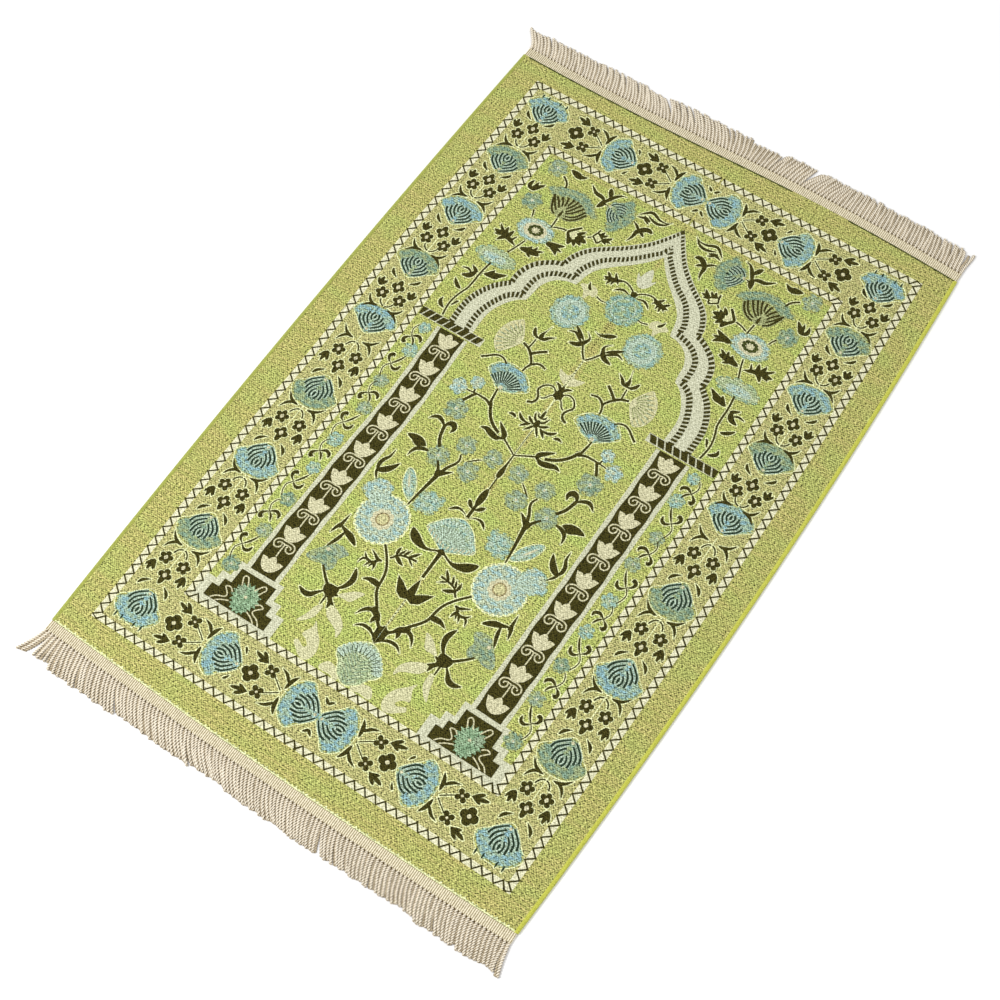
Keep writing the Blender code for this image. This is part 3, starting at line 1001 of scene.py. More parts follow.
# The dark tulip and the leaves above it.
draw("dark", patch, ((1.5, -226.5), (5, -237), (7.5, -249), (18, -242), (29, -236.5), (24.5, -246),
                     (19, -256.5), (10, -261.5), (1.5, -258.5)), False, edge="pale")
draw("dark", patch, ((0.5, -177.5), (10, -183.5), (20, -186.5), (28, -184), (39, -176.5),
                     (51.5, -172), (50.5, -180.5), (44, -188), (34, -191.2), (24, -191.3),
                     (15, -188.5), (7, -185), (2, -186)), edge="pale")
dark_stems((((0.6, -180), (0.8, -190), (0.8, -200), (0.8, -224)), 4.6, 1.8),)
dark_stems((((20.5, -209.8), (30, -210.5), (38, -212), (44.5, -214.5), (48.5, -220), (52, -223.5)),
            3.0, 2.4),)
dark_leaves(
    (((21.5, -198), (26, -203.5), (33, -211)), 4.0, 0.6),
    (((33.8, -200.5), (36.5, -206), (39, -212)), 3.6, 0.6),
    (((40.3, -203), (42, -208), (45, -213)), 3.0, 0.6),
    (((47.6, -203.5), (48.3, -209), (47.5, -216)), 4.4, 0.6),
    (((20.8, -219), (26, -215), (32, -211.5)), 2.4, 0.6),
    (((32, -224), (38, -222), (44, -218.5), (49, -216.5)), 5.4, 0.5),
    (((57.5, -232.5), (64, -233), (70, -229.5), (77, -226)), 4.2, 0.35),
    (((60.5, -233), (64.5, -238), (62.5, -243), (61, -248.5)), 4.6, 0.4),
    (((63, -236), (66, -242), (68.2, -248.5)), 3.0, 0.35),
    (((66, -238.5), (70, -242), (73.2, -249.5)), 3.4, 0.4),
    (((68, -240.5), (76, -239.5), (82.5, -233.5)), 3.6, 0.4),
    (((76, -240), (80.5, -242), (82.6, -249)), 3.2, 0.4),
)

# The domed palmette and the buds on the axis.
dome = ((1.5, -130), (12, -133.5), (22, -140.5), (30, -150), (37, -160), (33, -166), (20, -172.5),
        (8, -179), (1.5, -182))
draw("sky", patch, folded(dome, 1.5), edge="pale", alone=True)
heart = (1.5, -178)
for number in range(-8, 9):
    reach = 43 - 0.10 * number * number
    heading = math.radians(90 - 7.6 * number)
    for start, end, width in ((0.22, 0.78, 3.0), (0.80, 1.0, 4.0)):
        ends = [around(heart, heading, reach * share) for share in (start, end)]
        draw("mist", leaf, ends, width, 0.6, alone=True)
    if number < 8:
        heading = math.radians(90 - 7.6 * (number + 0.5))
        ends = [around(heart, heading, reach * share) for share in (0.34, 0.76)]
        draw("moss", stem, ends, 0.7, 1.0, alone=True)
for number in range(7):
    start = (4 + 5.0 * number, -177.5 + 1.9 * number)
    draw("bright", stem, (start, (start[0] + 1.6, start[1] + 6.0)), 1.2, 1.6)
dark_leaves(
    (((2.0, -77), (2.1, -88), (2.0, -106)), 8.0, 0.6),
    (((1.6, -19), (2.0, -36), (2.4, -46), (2.3, -57)), 4.6, 0.78),
    (((1.5, -112), (7.5, -108), (13.5, -101.5)), 5.6, 0.65),
    (((1.5, -126.5), (8, -121.5), (16.5, -119.3), (22.5, -121.3), (28.5, -127)), 4.0, 0.7),
)
dark_stems((((2, -104), (2, -125)), 2.6, 3.0),)

# The great carnation, its pale lobe, leaf and square flower.
mosaic("powder", "haze", patch, ((104, -156), (106.5, -142), (114, -136), (123, -136),
                                 (132, -141), (139.5, -152), (139.5, -160), (131, -164.5),
                                 (121, -172), (110, -172)), line=False)
for number in range(7):
    heading = math.radians(12 + 11 * number)
    draw("mist", leaf, (around((100, -172), heading, 8, 6), around((100, -172), heading, 34, 29)),
         3.4, 0.6)
draw("sky", patch, ((79, -143), (79.5, -132), (84, -121), (93, -110), (102, -104), (107, -105.5),
                    (106, -114), (101.5, -126), (94, -135), (86, -141)), edge="pale")
draw("mist", leaf, ((84, -138), (93, -125), (103, -108)), 7.0, 0.45)
draw("bright", leaf, ((90, -129), (96, -120), (101, -112)), 2.6, 0.45)
mosaic("sky", "haze", patch, ((41, -119), (48, -120.5), (55, -118), (63, -120), (70, -124),
                              (70.5, -131), (73, -138), (69, -148), (56, -149), (44, -145),
                              (42.5, -139), (40, -132)), line=False)
for tuft in ((50, -127), (61, -128), (48, -138), (60, -140)):
    draw("mist", spiky, tuft, 4.2, 7, 0.4)
heart = (92, -184)
draw("pale", rosette, heart, 37.2, 22, 0.05)
draw("powder", spiky, heart, 35.2, 30, 0.07)
for number in range(30):
    heading = math.tau * (number + 0.5) / 30
    draw("mist", leaf, (around(heart, heading, 29.0), around(heart, heading, 35.0)), 2.0, 0.7)
    if number % 3 == 0:
        draw("moss", leaf, (around(heart, heading, 27.5), around(heart, heading, 33.0)), 1.8, 0.6)
draw("mist", spiky, (91.5, -184.5), 20.5, 14, 0.18)
draw("bright", rosette, (91.5, -184.5), 15.5, 9, 0.14)
draw("tanline", rosette, (91.5, -184), 9.6, 3, 0.04)
draw("yellow", rosette, (91.5, -184), 7.6, 3, 0.04)

# Stems, leaves and speckled flowers of the middle.
dark_stems(
    (((77, -150), (74.8, -132), (72.2, -113), (70.2, -98), (70.2, -90)), 1.9, 7.4),
    (((69, -92), (65, -79), (59.2, -68.5), (58, -61), (61.2, -54)), 4.8, 2.2),
    (((71.5, -92), (76, -84), (82.2, -76.5)), 5.0, 2.6),
)
draw("dark", patch, ((60, -85), (65, -92), (68.5, -99), (72.5, -99), (75.5, -90), (70.5, -86.5),
                     (66, -85.5)))
dark_leaves(
    (((69.5, -95), (62.5, -87), (54.8, -81)), 5.2, 0.35),
    (((32, -45.5), (40, -51.5), (49.5, -60)), 2.2, 0.5),
    (((100.5, -71.5), (109, -72.3), (116.3, -76.3), (119.7, -83), (120.6, -90.5)), 5.6, 0.38),
    (((132.3, -142), (138, -134.5), (142, -128)), 3.6, 0.6),
    (((139, -131), (143.2, -122), (142.5, -113), (138.2, -104), (137.6, -92)), 5.4, 0.4),
    (((142.5, -129.5), (133.5, -124.5), (126, -116.5), (120.6, -106)), 9.0, 0.42),
    (((92.8, -34.5), (91, -27.5), (95.5, -22), (101.5, -24), (105.5, -31)), 8.0, 0.5),
    (((103.5, -32), (110, -26), (118, -22.5), (124, -24.5), (129.6, -30)), 5.6, 0.5),
)
draw("dark", patch, ((108, -67.2), (114, -61.5), (121, -59), (130, -59.3), (139.5, -64.3),
                     (129, -69), (119.5, -73.5), (113, -70.3)), edge="pale")
draw("tan", leaf, ((119.5, -70.5), (119.8, -62.5)), 1.6)
draw("tan", leaf, ((123.2, -69), (122.6, -63)), 1.3)
dark_stems((((104.8, -29), (102, -41), (98.5, -50), (92, -59)), 4.6, 4.4),)

dark_stems(
    (((1.6, -18.5), (12, -12.5), (25.6, -5)), 1.8, 2.6),
    (((37, -1.5), (47, 3), (56, 9.5), (64, 19), (70.5, 31)), 4.2, 4.4),
    (((70, 27), (78, 31), (87, 32), (97, 32), (110.5, 31)), 4.0, 1.5),
    (((95.5, 32), (101, 23), (105.8, 14.5)), 4.0, 4.0),
    (((96, 30.5), (99.5, 33), (100.2, 37.5)), 3.0, 2.0),
    (((71.5, 30), (73.4, 44), (74.2, 53)), 3.8, 2.0),
)
dark_leaves(
    (((44, 13.5), (35, 6), (28.5, 0), (28.2, -5), (33.5, -9)), 7.2, 0.5),
    (((29, -5.5), (36, -9), (46, -6.8), (55, -4), (63, -6.2)), 8.4, 0.45),
    (((0.8, 44), (0.8, 51), (0.8, 58)), 2.6, 0.4),
    (((0.8, 45.3), (5, 47), (6.3, 51.5)), 2.6, 0.4),
    (((0.8, 38.5), (7, 41.5), (11, 50.5)), 3.2, 0.45),
    (((0.8, 29.5), (1.2, 35), (1, 42)), 6.0, 0.5),
    (((1, 32.5), (9, 35.5), (16, 40.5)), 4.0, 0.6),
    (((7.5, 31), (18, 31), (25, 34), (29.6, 39)), 4.4, 0.55),
    (((7.5, 32.5), (13.5, 27.5), (19, 22)), 3.8, 0.45),
    (((1, 33), (6, 26), (11, 19.5)), 3.4, 0.45),
    (((30, 29.3), (35.5, 32), (42, 30.6)), 4.2, 0.45),
    (((0.5, 104), (0.3, 97), (0.2, 88)), 7.0, 0.75),
    (((0.5, 92), (5.5, 99), (12, 102)), 4.2, 0.45),
)
draw("dark", rosette, (0.3, 86), 7.2, 6, 0.18, edge="pale", alone=True)
dark_stems(
    (((5, 89.5), (12, 93.8), (20, 92), (25.5, 86), (27.2, 80), (22.4, 72.5), (20.7, 66),
      (24, 60), (30.5, 57.3)), 1.8, 3.4),
    (((5, 83), (9, 79.5), (13, 73.5), (17.5, 71)), 1.6, 2.0),
    (((84, 90), (90, 95), (97.5, 96.7), (105, 94.2), (112, 88.8), (120.5, 82.8)), 2.2, 3.2),
    (((60.3, 92), (59, 99), (56.3, 107), (60, 114), (65, 120.5)), 2.4, 3.6),
    (((64, 119.5), (72, 126), (82, 129.8)), 4.2, 3.0),
    (((66, 119.5), (57.5, 127), (47, 134.7)), 4.0, 3.6),
    (((57, 105), (50.5, 110.8), (44, 112.7), (35.5, 110.5)), 3.4, 2.6),
    (((70.5, 142.8), (71, 135), (72.3, 125.5)), 1.8, 2.4),
    (((0, 149.5), (6.5, 157), (13.3, 167.8)), 2.4, 2.4),
)
dark_leaves(
    (((49.5, 158.3), (57, 152.5), (61.5, 147.8), (69.5, 145.6)), 5.0, 0.55),
    (((80.8, 158.3), (77.5, 151), (73.4, 147.2), (66, 145.6)), 5.0, 0.4),
    (((62.3, 171), (65, 161), (67, 153), (65.5, 145.5)), 6.4, 0.8),
    (((18.8, 189), (11.2, 181), (14.5, 171.5), (21, 165), (32, 162.3)), 7.2, 0.66),
    (((17, 169), (24.5, 175.5), (32.5, 180), (41.8, 177)), 4.2, 0.45),
    (((16.2, 174.6), (26, 181.3), (37, 190)), 5.0, 0.5),
)
draw("dark", leaf, ((-12, 194), (-3, 193), (6, 197), (16, 203)), 6.4, 0.7, edge="pale",
     alone=True)

# The blue fan on the side stem, with straight ribs.
mosaic("blue", "haze", patch, ((72, 53), (64, 57), (55, 59.5), (47, 65), (39, 70), (44, 79),
                               (52, 86), (62, 90.5), (75, 92), (88, 89.5), (97, 81), (100, 75),
                               (93, 69), (84, 61.5), (77, 56)))
for tip in ((46.5, 67.5), (50, 71.5), (53.5, 74.8), (57.5, 77.5), (62, 79.8), (66.5, 81.2),
            (71, 81.8), (75.5, 81.2), (80, 79.8), (84, 77.6), (87.8, 74.6), (91, 71.2),
            (93.5, 67.6)):
    root = (72 + (tip[0] - 72) * 0.35, 53.5 + (tip[1] - 53.5) * 0.35)
    draw("mist", stem, (root, tip), 2.4, 5.0)
    draw("rib", stem, (root, tip), 1.1, 2.9)
draw("bright", rosette, (72, 56), 3.4, 5, 0.3)

# The pale ribbed palmette beside it.
draw("soft", patch, ((100, 160), (107, 156), (114, 149), (119, 140), (121.5, 128), (120, 116),
                     (115, 107), (107, 101), (101, 104), (92, 115), (84, 130), (90, 146)))
for tip in ((101, 157), (107.5, 152), (112.5, 146), (116.5, 139), (119, 131), (119, 123),
            (117, 115.5), (113, 109), (107.5, 104)):
    run = (tip[0] - 84, tip[1] - 131)
    draw("straw", stem, [(84 + run[0] * share, 131 + run[1] * share) for share in (0.25, 0.74)],
         1.0, 2.6)
    draw("yellow", leaf, [(84 + run[0] * share, 131 + run[1] * share) for share in (0.72, 1.04)],
         4.6, 0.6)
    draw("moss", stem, [(84 + run[0] * share, 128 + run[1] * share) for share in (0.74, 0.96)], 1.0)

for x, y, radius, yarn in ((21, -37, 13.5, "grey"), (62, -39, 14, "grey"), (39, -70, 15, "grey"),
                           (86, -70, 16, "grey"), (106, 0, 16.5, "grey"), (103, 47, 10, "powder"),
                           (122, 30, 12.5, "powder")):
    speckled_flower(x, y, radius, yarn)
draw("teal", spiky, (110, -2), 9.0, 11, 0.25)

# Round flowers near the top, and the little branches under the point of the arch.
draw("haze", spiky, (56.5, 203), 28.5, 34, 0.08)
draw("sky", rosette, (56.5, 203), 26.0, 9, 0.06)
draw("mist", hoop, (55.5, 202.5), 20.5, 12.5, 9, 0.10)
for number in range(9):
    place = around((56.5, 202.5), math.tau * number / 9, 10.5, 9.5)
    draw("blue", rosette, place, 3.4, 4, 0.3)
draw("mist", spiky, (56.5, 203), 4.6, 7, 0.4)
draw("haze", spiky, (1, 243), 27.5, 34, 0.08, alone=True)
draw("aqua", rosette, (1, 243), 25.0, 8, 0.05, alone=True)
draw("mist", hoop, (0.5, 243), 18.0, 15.8, 8, 0.06, alone=True)
draw("mist", spiky, (-1, 244), 4.0, 7, 0.4, alone=True)
draw("cream", patch, ((0.5, 284), (6, 286), (11, 293), (14.5, 304), (9, 300), (6.5, 309),
                      (0.5, 318), (-5.5, 309), (-8, 300), (-13.5, 304), (-10, 293), (-5, 286)),
     alone=True)
draw("dark", rosette, (0, 270.5), 5.0, 5, 0.2, edge="pale", alone=True)
dark_stems(
    (((3, 273), (12, 279), (21, 281.5), (29, 280)), 2.0, 2.4),
    (((25.5, 240), (32, 239.2), (40, 241.8)), 1.5, 2.0),
)
dark_leaves(
    (((25, 281), (33, 277), (42, 275), (50, 275)), 7.5, 0.5),
    (((31, 278), (36, 282), (39.5, 287)), 3.8, 0.4),
    (((41, 276), (46, 280.5), (49.5, 283.5)), 3.8, 0.4),
    (((40, 276), (44, 273), (46.5, 269.5)), 3.2, 0.4),
    (((38, 277), (40, 271), (41, 265.5)), 4.0, 0.4),
    (((36, 277), (35.5, 272), (35, 267.5)), 3.2, 0.4),
    (((33, 279), (30, 276), (27.5, 272.5)), 2.6, 0.4),
    (((5.5, 266.8), (15, 269.3), (22, 267), (27.5, 261.8)), 3.4, 0.5),
    (((52, 246), (56.5, 249.5), (59.2, 256.5)), 4.2, 0.4),
)

# The five-armed figure, the bell flower and the thorned leaf low at the side.
draw("dark", patch, ((80, -293), (88, -292), (95, -293), (99, -297), (97, -304), (91, -308.5),
                     (84, -310), (79.5, -303)), edge="pale")
dark_leaves(
    (((88, -299), (77.5, -287), (73.3, -275.5), (75, -266), (78.5, -258)), 7.6, 0.55),
    (((92, -301), (101, -311), (107, -318), (115, -320), (125, -316)), 7.6, 0.6),
    (((88, -303), (80.5, -312), (72.8, -315.2)), 6.0, 0.4),
    (((84, -306), (80, -314), (78.2, -322.5)), 5.0, 0.5),
    (((87, -303), (81, -302.5), (75.8, -301)), 3.8, 0.6),
)
dark_stems(
    (((94, -297), (103, -290), (110.5, -283), (117, -276)), 4.0, 2.8),
    (((88.6, -306), (88.6, -322)), 3.0, 1.8),
)
draw("grey", patch, ((97.5, -249), (106, -243), (118, -242.5), (127, -250), (134, -258),
                     (142, -268), (143.5, -277), (131, -279), (120, -276), (110, -281),
                     (103, -272), (105, -260)))
draw("teal", spiky, (122, -265), 14.0, 13, 0.2, high=0.8)
draw("bright", rosette, (124.3, -255), 3.0, 5, 0.3)
dark_leaves(
    (((130.4, -199.5), (131, -209), (131.6, -219), (130, -223)), 4.4, 0.6),
    (((130, -214), (134, -222), (137.5, -234)), 5.2, 0.35),
    (((133.5, -217.5), (121, -222.5), (110, -226.5), (98.5, -233.5)), 8.4, 0.6),
    (((121, -223), (123.5, -237), (129.5, -253)), 5.0, 0.5),
)
weave("garden")

# ---- The side vines --------------------------------------------------------------------------
# A thin vine climbs between each column and the border, with a small speckled flower between
# pairs of curled leaves that point by turns up and down.
UPWARD_LEAVES = (
    # points, width, fullest place
    (((-14.5, -3), (-13.5, 2), (-8, 4.6), (-3, 2.6), (0.5, 0)), 4.6, 0.4),
    (((-0.5, 0.3), (5, -3), (8.2, -7.5), (6.5, -12), (2.6, -10)), 5.0, 0.6),
    (((0, 0), (-5, -4.5), (-8.5, -11.5)), 3.0, 0.5),
)
DOWNWARD_LEAVES = (
    (((-13.5, 3.5), (-11.5, -3), (-6, -5), (0.5, -0.5)), 4.6, 0.45),
    (((-0.5, 0), (6, 4), (8.4, 10), (4.6, 14), (2, 11)), 5.0, 0.6),
    (((-12, 21), (-7, 10.5), (0.3, 0)), 2.8, 0.55),
)
for leaves, vine, x, places in (
        (UPWARD_LEAVES, ((0.5, 0), (4.5, 9), (3.5, 16), (0, 21)), 220.0,
         (60.0, -41.0, -146.0, -252.0)),
        (DOWNWARD_LEAVES, ((1, 0), (6, -8), (5, -17), (1.5, -24)), 220.7,
         (11.0, -95.0, -200.5, -308.0))):
    for y in places:
        dark_leaves(*((placed(points, x, y), width, fullest) for points, width, fullest in leaves))
        dark_stems((placed(vine, x, y), 1.3, 1.3))
for x, y, radius, yarn in ((212, 80, 9, "sky"), (210, 41, 11, "sky"), (217, -17, 11, "grey"),
                           (211, -63, 11, "grey"), (214, -121, 11, "sky"), (212, -171, 10, "sky"),
                           (211, -225, 11, "teal"), (210, -278, 11, "grey"),
                           (216, -338, 12, "teal")):
    speckled_flower(x, y, radius, yarn)

# ---- The spandrels ---------------------------------------------------------------------------
# Outside the arch the same plant goes on: a tall stem with a flat flower and an oval one, two
# great fans, toothed fruits, and small flowers and leaves up to the corner.
dark_stems(
    (((202.3, 109.5), (204, 120), (204.6, 131), (203, 142), (200, 152), (196.5, 162),
      (195.5, 175), (195.5, 187), (194.5, 198), (192.5, 212)), 2.6, 2.8),
    (((183, 237.5), (177.5, 252), (173.3, 266)), 2.4, 2.2),
    (((158.5, 319), (157.6, 310), (157, 302)), 2.4, 2.2),
    (((136, 309.5), (145, 308), (154.5, 304.3)), 2.4, 2.2),
    (((191.5, 382.5), (186, 379), (181, 374), (178.3, 367)), 2.6, 3.0),
    (((194.5, 314.5), (192, 310), (189.5, 303.5)), 2.6, 1.8),
    (((101.5, 318.5), (105.5, 315.5)), 2.2, 2.2),
)
dark_leaves(
    (((194.8, 138.8), (198, 134.5), (201.2, 127.5)), 3.4, 0.45),
    (((207.3, 119.3), (213.5, 121.8), (217.8, 126.5), (217.2, 132.8)), 5.6, 0.5),
    (((204.3, 155.6), (211, 158.3), (217, 163), (220.8, 167.5)), 5.4, 0.42),
    (((199.3, 188.6), (204.5, 191.8), (211.3, 196)), 5.0, 0.45),
    (((205.5, 184), (213, 188.2), (222.5, 186.8)), 3.2, 0.5),
    (((202, 193), (203.6, 184), (208.5, 178.8), (217, 176.3)), 8.2, 0.5),
    (((190.8, 192.5), (179, 196), (171, 199.5), (161.3, 205.8)), 9.2, 0.42),
    (((187, 193.5), (182.5, 198.5), (179.7, 204.5)), 6.0, 0.4),
    (((185, 193.5), (176, 193.8), (168.8, 195.3)), 5.0, 0.5),
    (((173.2, 252.5), (161, 254.5), (149, 255.5), (142.8, 254)), 10.0, 0.45),
    (((154, 254), (147.5, 259.5), (141, 263.3)), 4.4, 0.4),
    (((156, 254), (153, 260), (151.7, 266)), 4.6, 0.4),
    (((165, 253.5), (160.5, 258.5), (159, 263)), 5.0, 0.4),
    (((161, 254), (157, 249.5), (152, 246.3)), 4.4, 0.4),
    (((180.5, 251.5), (188, 254.5), (194, 257), (202, 256)), 6.4, 0.6),
    (((189.5, 256), (188.5, 261), (185.8, 265.8)), 3.2, 0.35),
    (((198, 256), (197.5, 263), (195, 271.3)), 6.6, 0.4),
    (((196, 258), (204, 261), (213, 259.5), (220.8, 260.8)), 8.6, 0.4),
    (((201, 260), (204.5, 266), (205.5, 272.8)), 5.6, 0.4),
    (((203, 260), (211, 265.5), (218.2, 272)), 4.6, 0.4),
    (((204, 261), (211, 257), (216.7, 254.7)), 4.8, 0.4),
    (((198, 259), (204, 254), (208.5, 247.5)), 6.2, 0.4),
    (((147.2, 277.5), (135, 279.8), (121.5, 286.3)), 8.6, 0.4),
    (((141, 277.8), (130, 277), (120.5, 276)), 4.8, 0.45),
    (((142, 277.5), (131, 274), (124.3, 267.6)), 6.0, 0.45),
    (((22, 396), (29, 391.5), (40, 391.3), (48, 395), (55, 396), (62, 391), (68.5, 384.5)),
     4.4, 0.6),
    (((24, 394), (31, 387), (40, 384.3), (49, 386), (57.5, 390)), 4.2, 0.5),
    (((49, 381), (57, 384), (62, 382.5), (69, 380.3)), 4.6, 0.4),
    (((49, 376.8), (56, 381), (61, 387.5)), 3.6, 0.55),
    (((36.8, 366.5), (44, 368.8), (51, 365), (56.5, 358), (57, 348), (60, 338.5)), 7.6, 0.35),
    (((44.5, 355.5), (49, 359), (54, 361.5)), 4.2, 0.5),
    (((54, 360), (61.5, 367), (69.5, 371.2)), 4.0, 0.35),
    (((98.5, 399), (106, 396.5), (113, 389), (118.5, 379.5), (121, 373)), 5.6, 0.6),
    (((116, 384), (119.5, 391.5), (124.5, 400)), 7.0, 0.6),
    (((120, 377.5), (128, 381.3), (138.5, 383), (149.5, 391.5)), 6.0, 0.45),
    (((121, 380), (121.5, 371.5), (125.3, 363.3)), 8.0, 0.45),
    (((111.5, 374.3), (117, 373.4), (122, 374)), 2.6, 0.6),
    (((161.3, 398), (170, 393.3), (178, 394.5), (188, 397.2)), 9.6, 0.58),
    (((216.5, 339.5), (212, 347.5), (204.3, 356)), 6.8, 0.42),
    (((216.3, 339.5), (215.7, 347), (214.4, 356.5)), 6.0, 0.35),
    (((215.5, 340), (223.4, 345.5), (222.2, 355.5)), 6.0, 0.5),
)

# The flat flower and the oval one.
mosaic("sage", "haze", patch, ((161, 221), (166, 229), (176, 232), (183, 237), (192, 234),
                               (203, 235.5), (214, 231), (222, 222), (214, 214), (200, 210.5),
                               (182, 211.5), (168, 214)), line=False)
draw("powder", rosette, (193, 221), 20.0, 8, 0.12, high=0.36)
draw("mist", hoop, (193, 221.5), 18.0, 11.5, 9, 0.10, high=0.34)
draw("aqua", stem, ((168, 214.5), (182, 211.5), (200, 211), (214, 215)), 3.0)

mosaic("powder", "haze", rosette, (171.5, 287), 27.0, 14, 0.06, 90.0, 0.68, line=False)
draw("mist", rosette, (171.5, 286.5), 21.0, 12, 0.08, high=0.68)
draw("bright", rosette, (171.5, 286.5), 18.0, 10, 0.10, high=0.70)
draw("olive", hoop, (171.0, 287.3), 12.2, 6.6, 9, 0.16, high=0.76)
for number in range(9):
    heading = math.tau * (number + 0.5) / 9
    ends = (around((171.5, 287), heading, 8.4, 6.4), around((171.5, 287), heading, 4.8, 3.8))
    draw("olive", leaf, ends, 2.4)
dark_leaves((((170, 278.5), (171, 275)), 1.8, 0.5), (((174.5, 278.5), (175, 276)), 1.8, 0.5))

# The great fan and the one that lies on its side.
mosaic("teal", "mirk", patch, ((116, 347), (123, 356), (134, 365), (147, 371), (160, 371.5),
                               (175, 368.5), (189, 362), (197, 356), (187, 351), (175, 354.5),
                               (160, 358), (145, 356), (132, 347.5)), line=False)
draw("straw", patch, ((154, 322), (165, 322), (170, 331), (160, 345), (149, 331)))
for rib in (
        ((152.5, 323), (143, 325.5), (134.5, 333), (128.8, 344)),
        ((152, 327.5), (143, 331), (136.5, 338.5), (132, 348)),
        ((154, 331.5), (147, 337), (141.5, 344.5), (137, 351.5)),
        ((156, 334), (151, 340), (146.3, 348.5), (142.5, 355)),
        ((157.7, 338), (154, 344.5), (151, 351.5), (149.5, 357.5)),
        ((158.8, 344), (157.3, 350), (156.7, 357)),
        ((162, 341), (163, 348.5), (165, 356)),
        ((165, 339), (168, 346), (173, 353)),
        ((167.5, 335), (172.5, 342.5), (179.5, 350)),
        ((168.5, 330), (175.5, 337.5), (180.5, 344.5), (185.5, 351)),
        ((167.5, 323.5), (174.5, 328.5), (179.5, 337), (183.8, 347))):
    draw("straw", stem, rib, 4.8, 6.2)
    draw("dark", stem, rib, 2.5, 3.5)
draw("dark", leaf, ((159.5, 321.5), (159.6, 334)), 4.2, 0.4)

mosaic("teal", "mirk", patch, ((111, 375), (107.5, 383), (99, 388), (92, 394), (86, 398.5),
                               (80, 390), (73.5, 380), (70, 370.5), (73, 360), (79, 350.5),
                               (85.5, 342), (91, 339.5), (97, 346), (100.5, 354), (107.5, 363)),
       line=False)
for rib in (
        ((90.5, 385.5), (98.5, 384.5), (105, 381), (108.5, 376.5)),
        ((88, 381.5), (96, 381), (102.5, 377.5)),
        ((86.5, 377.5), (93.5, 377.3), (99, 375)),
        ((86, 373.5), (91.5, 372.5), (95, 370.5)),
        ((87, 361), (91, 363), (94.5, 367.5)),
        ((91, 357), (96.5, 361.5), (99.5, 369)),
        ((93, 353.5), (101.5, 361.5), (104.3, 370.5)),
        ((97.3, 351.5), (106, 362.3), (108.8, 371.5))):
    draw("mist", stem, rib, 3.4, 3.8)
    draw("rib", stem, rib, 1.9, 2.2)
draw("rib", leaf, ((84, 367.5), (91, 368.2)), 2.8, 0.5)
draw("bright", rosette, (109.5, 374), 2.4, 4, 0.3)

# The toothed fruits, cream inside.
draw("soft", patch, ((118, 302), (121, 315), (123.5, 319), (131, 309), (127, 302), (121.5, 298)),
     False)
draw("dark", stem, ((120.7, 324), (126.5, 317.5), (132.6, 309.3), (127.4, 301.5), (121.6, 293)),
     3.4, 5.0, edge="pale")
dark_leaves(
    (((120, 306), (110, 307), (101.8, 305.8)), 8.6, 0.4),
    (((119, 308), (113, 311), (108.3, 314.7)), 5.4, 0.4),
    (((120.5, 311.5), (116, 316), (112, 321)), 5.6, 0.4),
    (((119, 304), (111, 301.5), (105.6, 298.5)), 5.8, 0.4),
    (((120.5, 302), (116, 298), (112.8, 293)), 5.8, 0.4),
    (((126, 303), (122.5, 297), (121.8, 291.5)), 6.4, 0.4),
)
draw("soft", patch, ((86, 322.5), (90, 327.5), (97, 326), (99.3, 320), (91.5, 315.8),
                     (88.5, 318.5)), False)
draw("dark", stem, ((97.5, 334.5), (98.4, 328), (100.4, 321.3), (97, 318.5), (90, 314.2),
                    (87.6, 320)), 2.4, 2.4, edge="pale")
dark_leaves(
    (((87.5, 321), (81.5, 325.5), (76.3, 331.3)), 5.6, 0.4),
    (((88, 321.8), (80.5, 323), (74.2, 323.2)), 4.4, 0.4),
    (((88, 322.5), (83.5, 320.5), (78.8, 318.2)), 4.2, 0.4),
    (((91, 326), (87.5, 328.8), (84, 332.2)), 4.2, 0.4),
    (((94, 326), (91.8, 330.5), (90.4, 334.6)), 4.2, 0.4),
    (((87, 322.5), (92, 327), (98, 328.5)), 4.4, 0.5),
)
for x, y, radius, yarn in ((206, 390, 14, "grey"), (205.5, 326, 14.5, "teal")):
    speckled_flower(x, y, radius, yarn)
weave("spandrels")

# ---- The ends of the cloth --------------------------------------------------------------------
# At the near end the last weft lines are pale and end in small teeth over the fringe's heading.
# At the far end a thin, broken dark line along the heading is painted shadow of its raised edge.
END_TOOTH = 5.5
END_TEETH = 127
NEAR_LINE = (-349.0, 349.0, -525.0)                   # from, to, and its place along the cloth
FAR_SHADOW_LINES = ((-340.0, 92.0), (180.0, 349.0))          # each from, to
FAR_SHADOW_PLACE = 524.8


def at_end(x, y):
    """Where a place of the flat cut cloth, in millimetres, lies for a figure."""
    laid_x, laid_y = lay(x * MILLIMETRE, y * MILLIMETRE)
    return (laid_x - LAY_SHIFT_X) / MILLIMETRE, (laid_y - LAY_SHIFT_Y) / MILLIMETRE


start, end, place = NEAR_LINE
line = [at_end(start + (end - start) * step / 100, place) for step in range(101)]
draw("pale", ribbon, line, [0.9] * len(line), 0.0, alone=True)
for tooth in range(END_TEETH):
    x = -346.6 + END_TOOTH * tooth
    tall = 2.4 + 1.1 * math.sin(2.3 * tooth)
    draw("pale", leaf, (at_end(x, place - 0.6), at_end(x + 0.5, place + tall)), 3.2, 0.3,
         alone=True)
# Painted shadow along the far end: broken lines of the olive yarn.
for start, end in FAR_SHADOW_LINES:
    steps = round((end - start) / 6.0)
    line = [at_end(start + (end - start) * k / steps, FAR_SHADOW_PLACE) for k in range(steps + 1)]
    halves = [0.75 + 0.35 * math.sin(1.7 * k) * math.sin(0.6 * k + 1) for k in range(steps + 1)]
    draw("olive", ribbon, line, halves, 0.0, alone=True)
weave("ends")

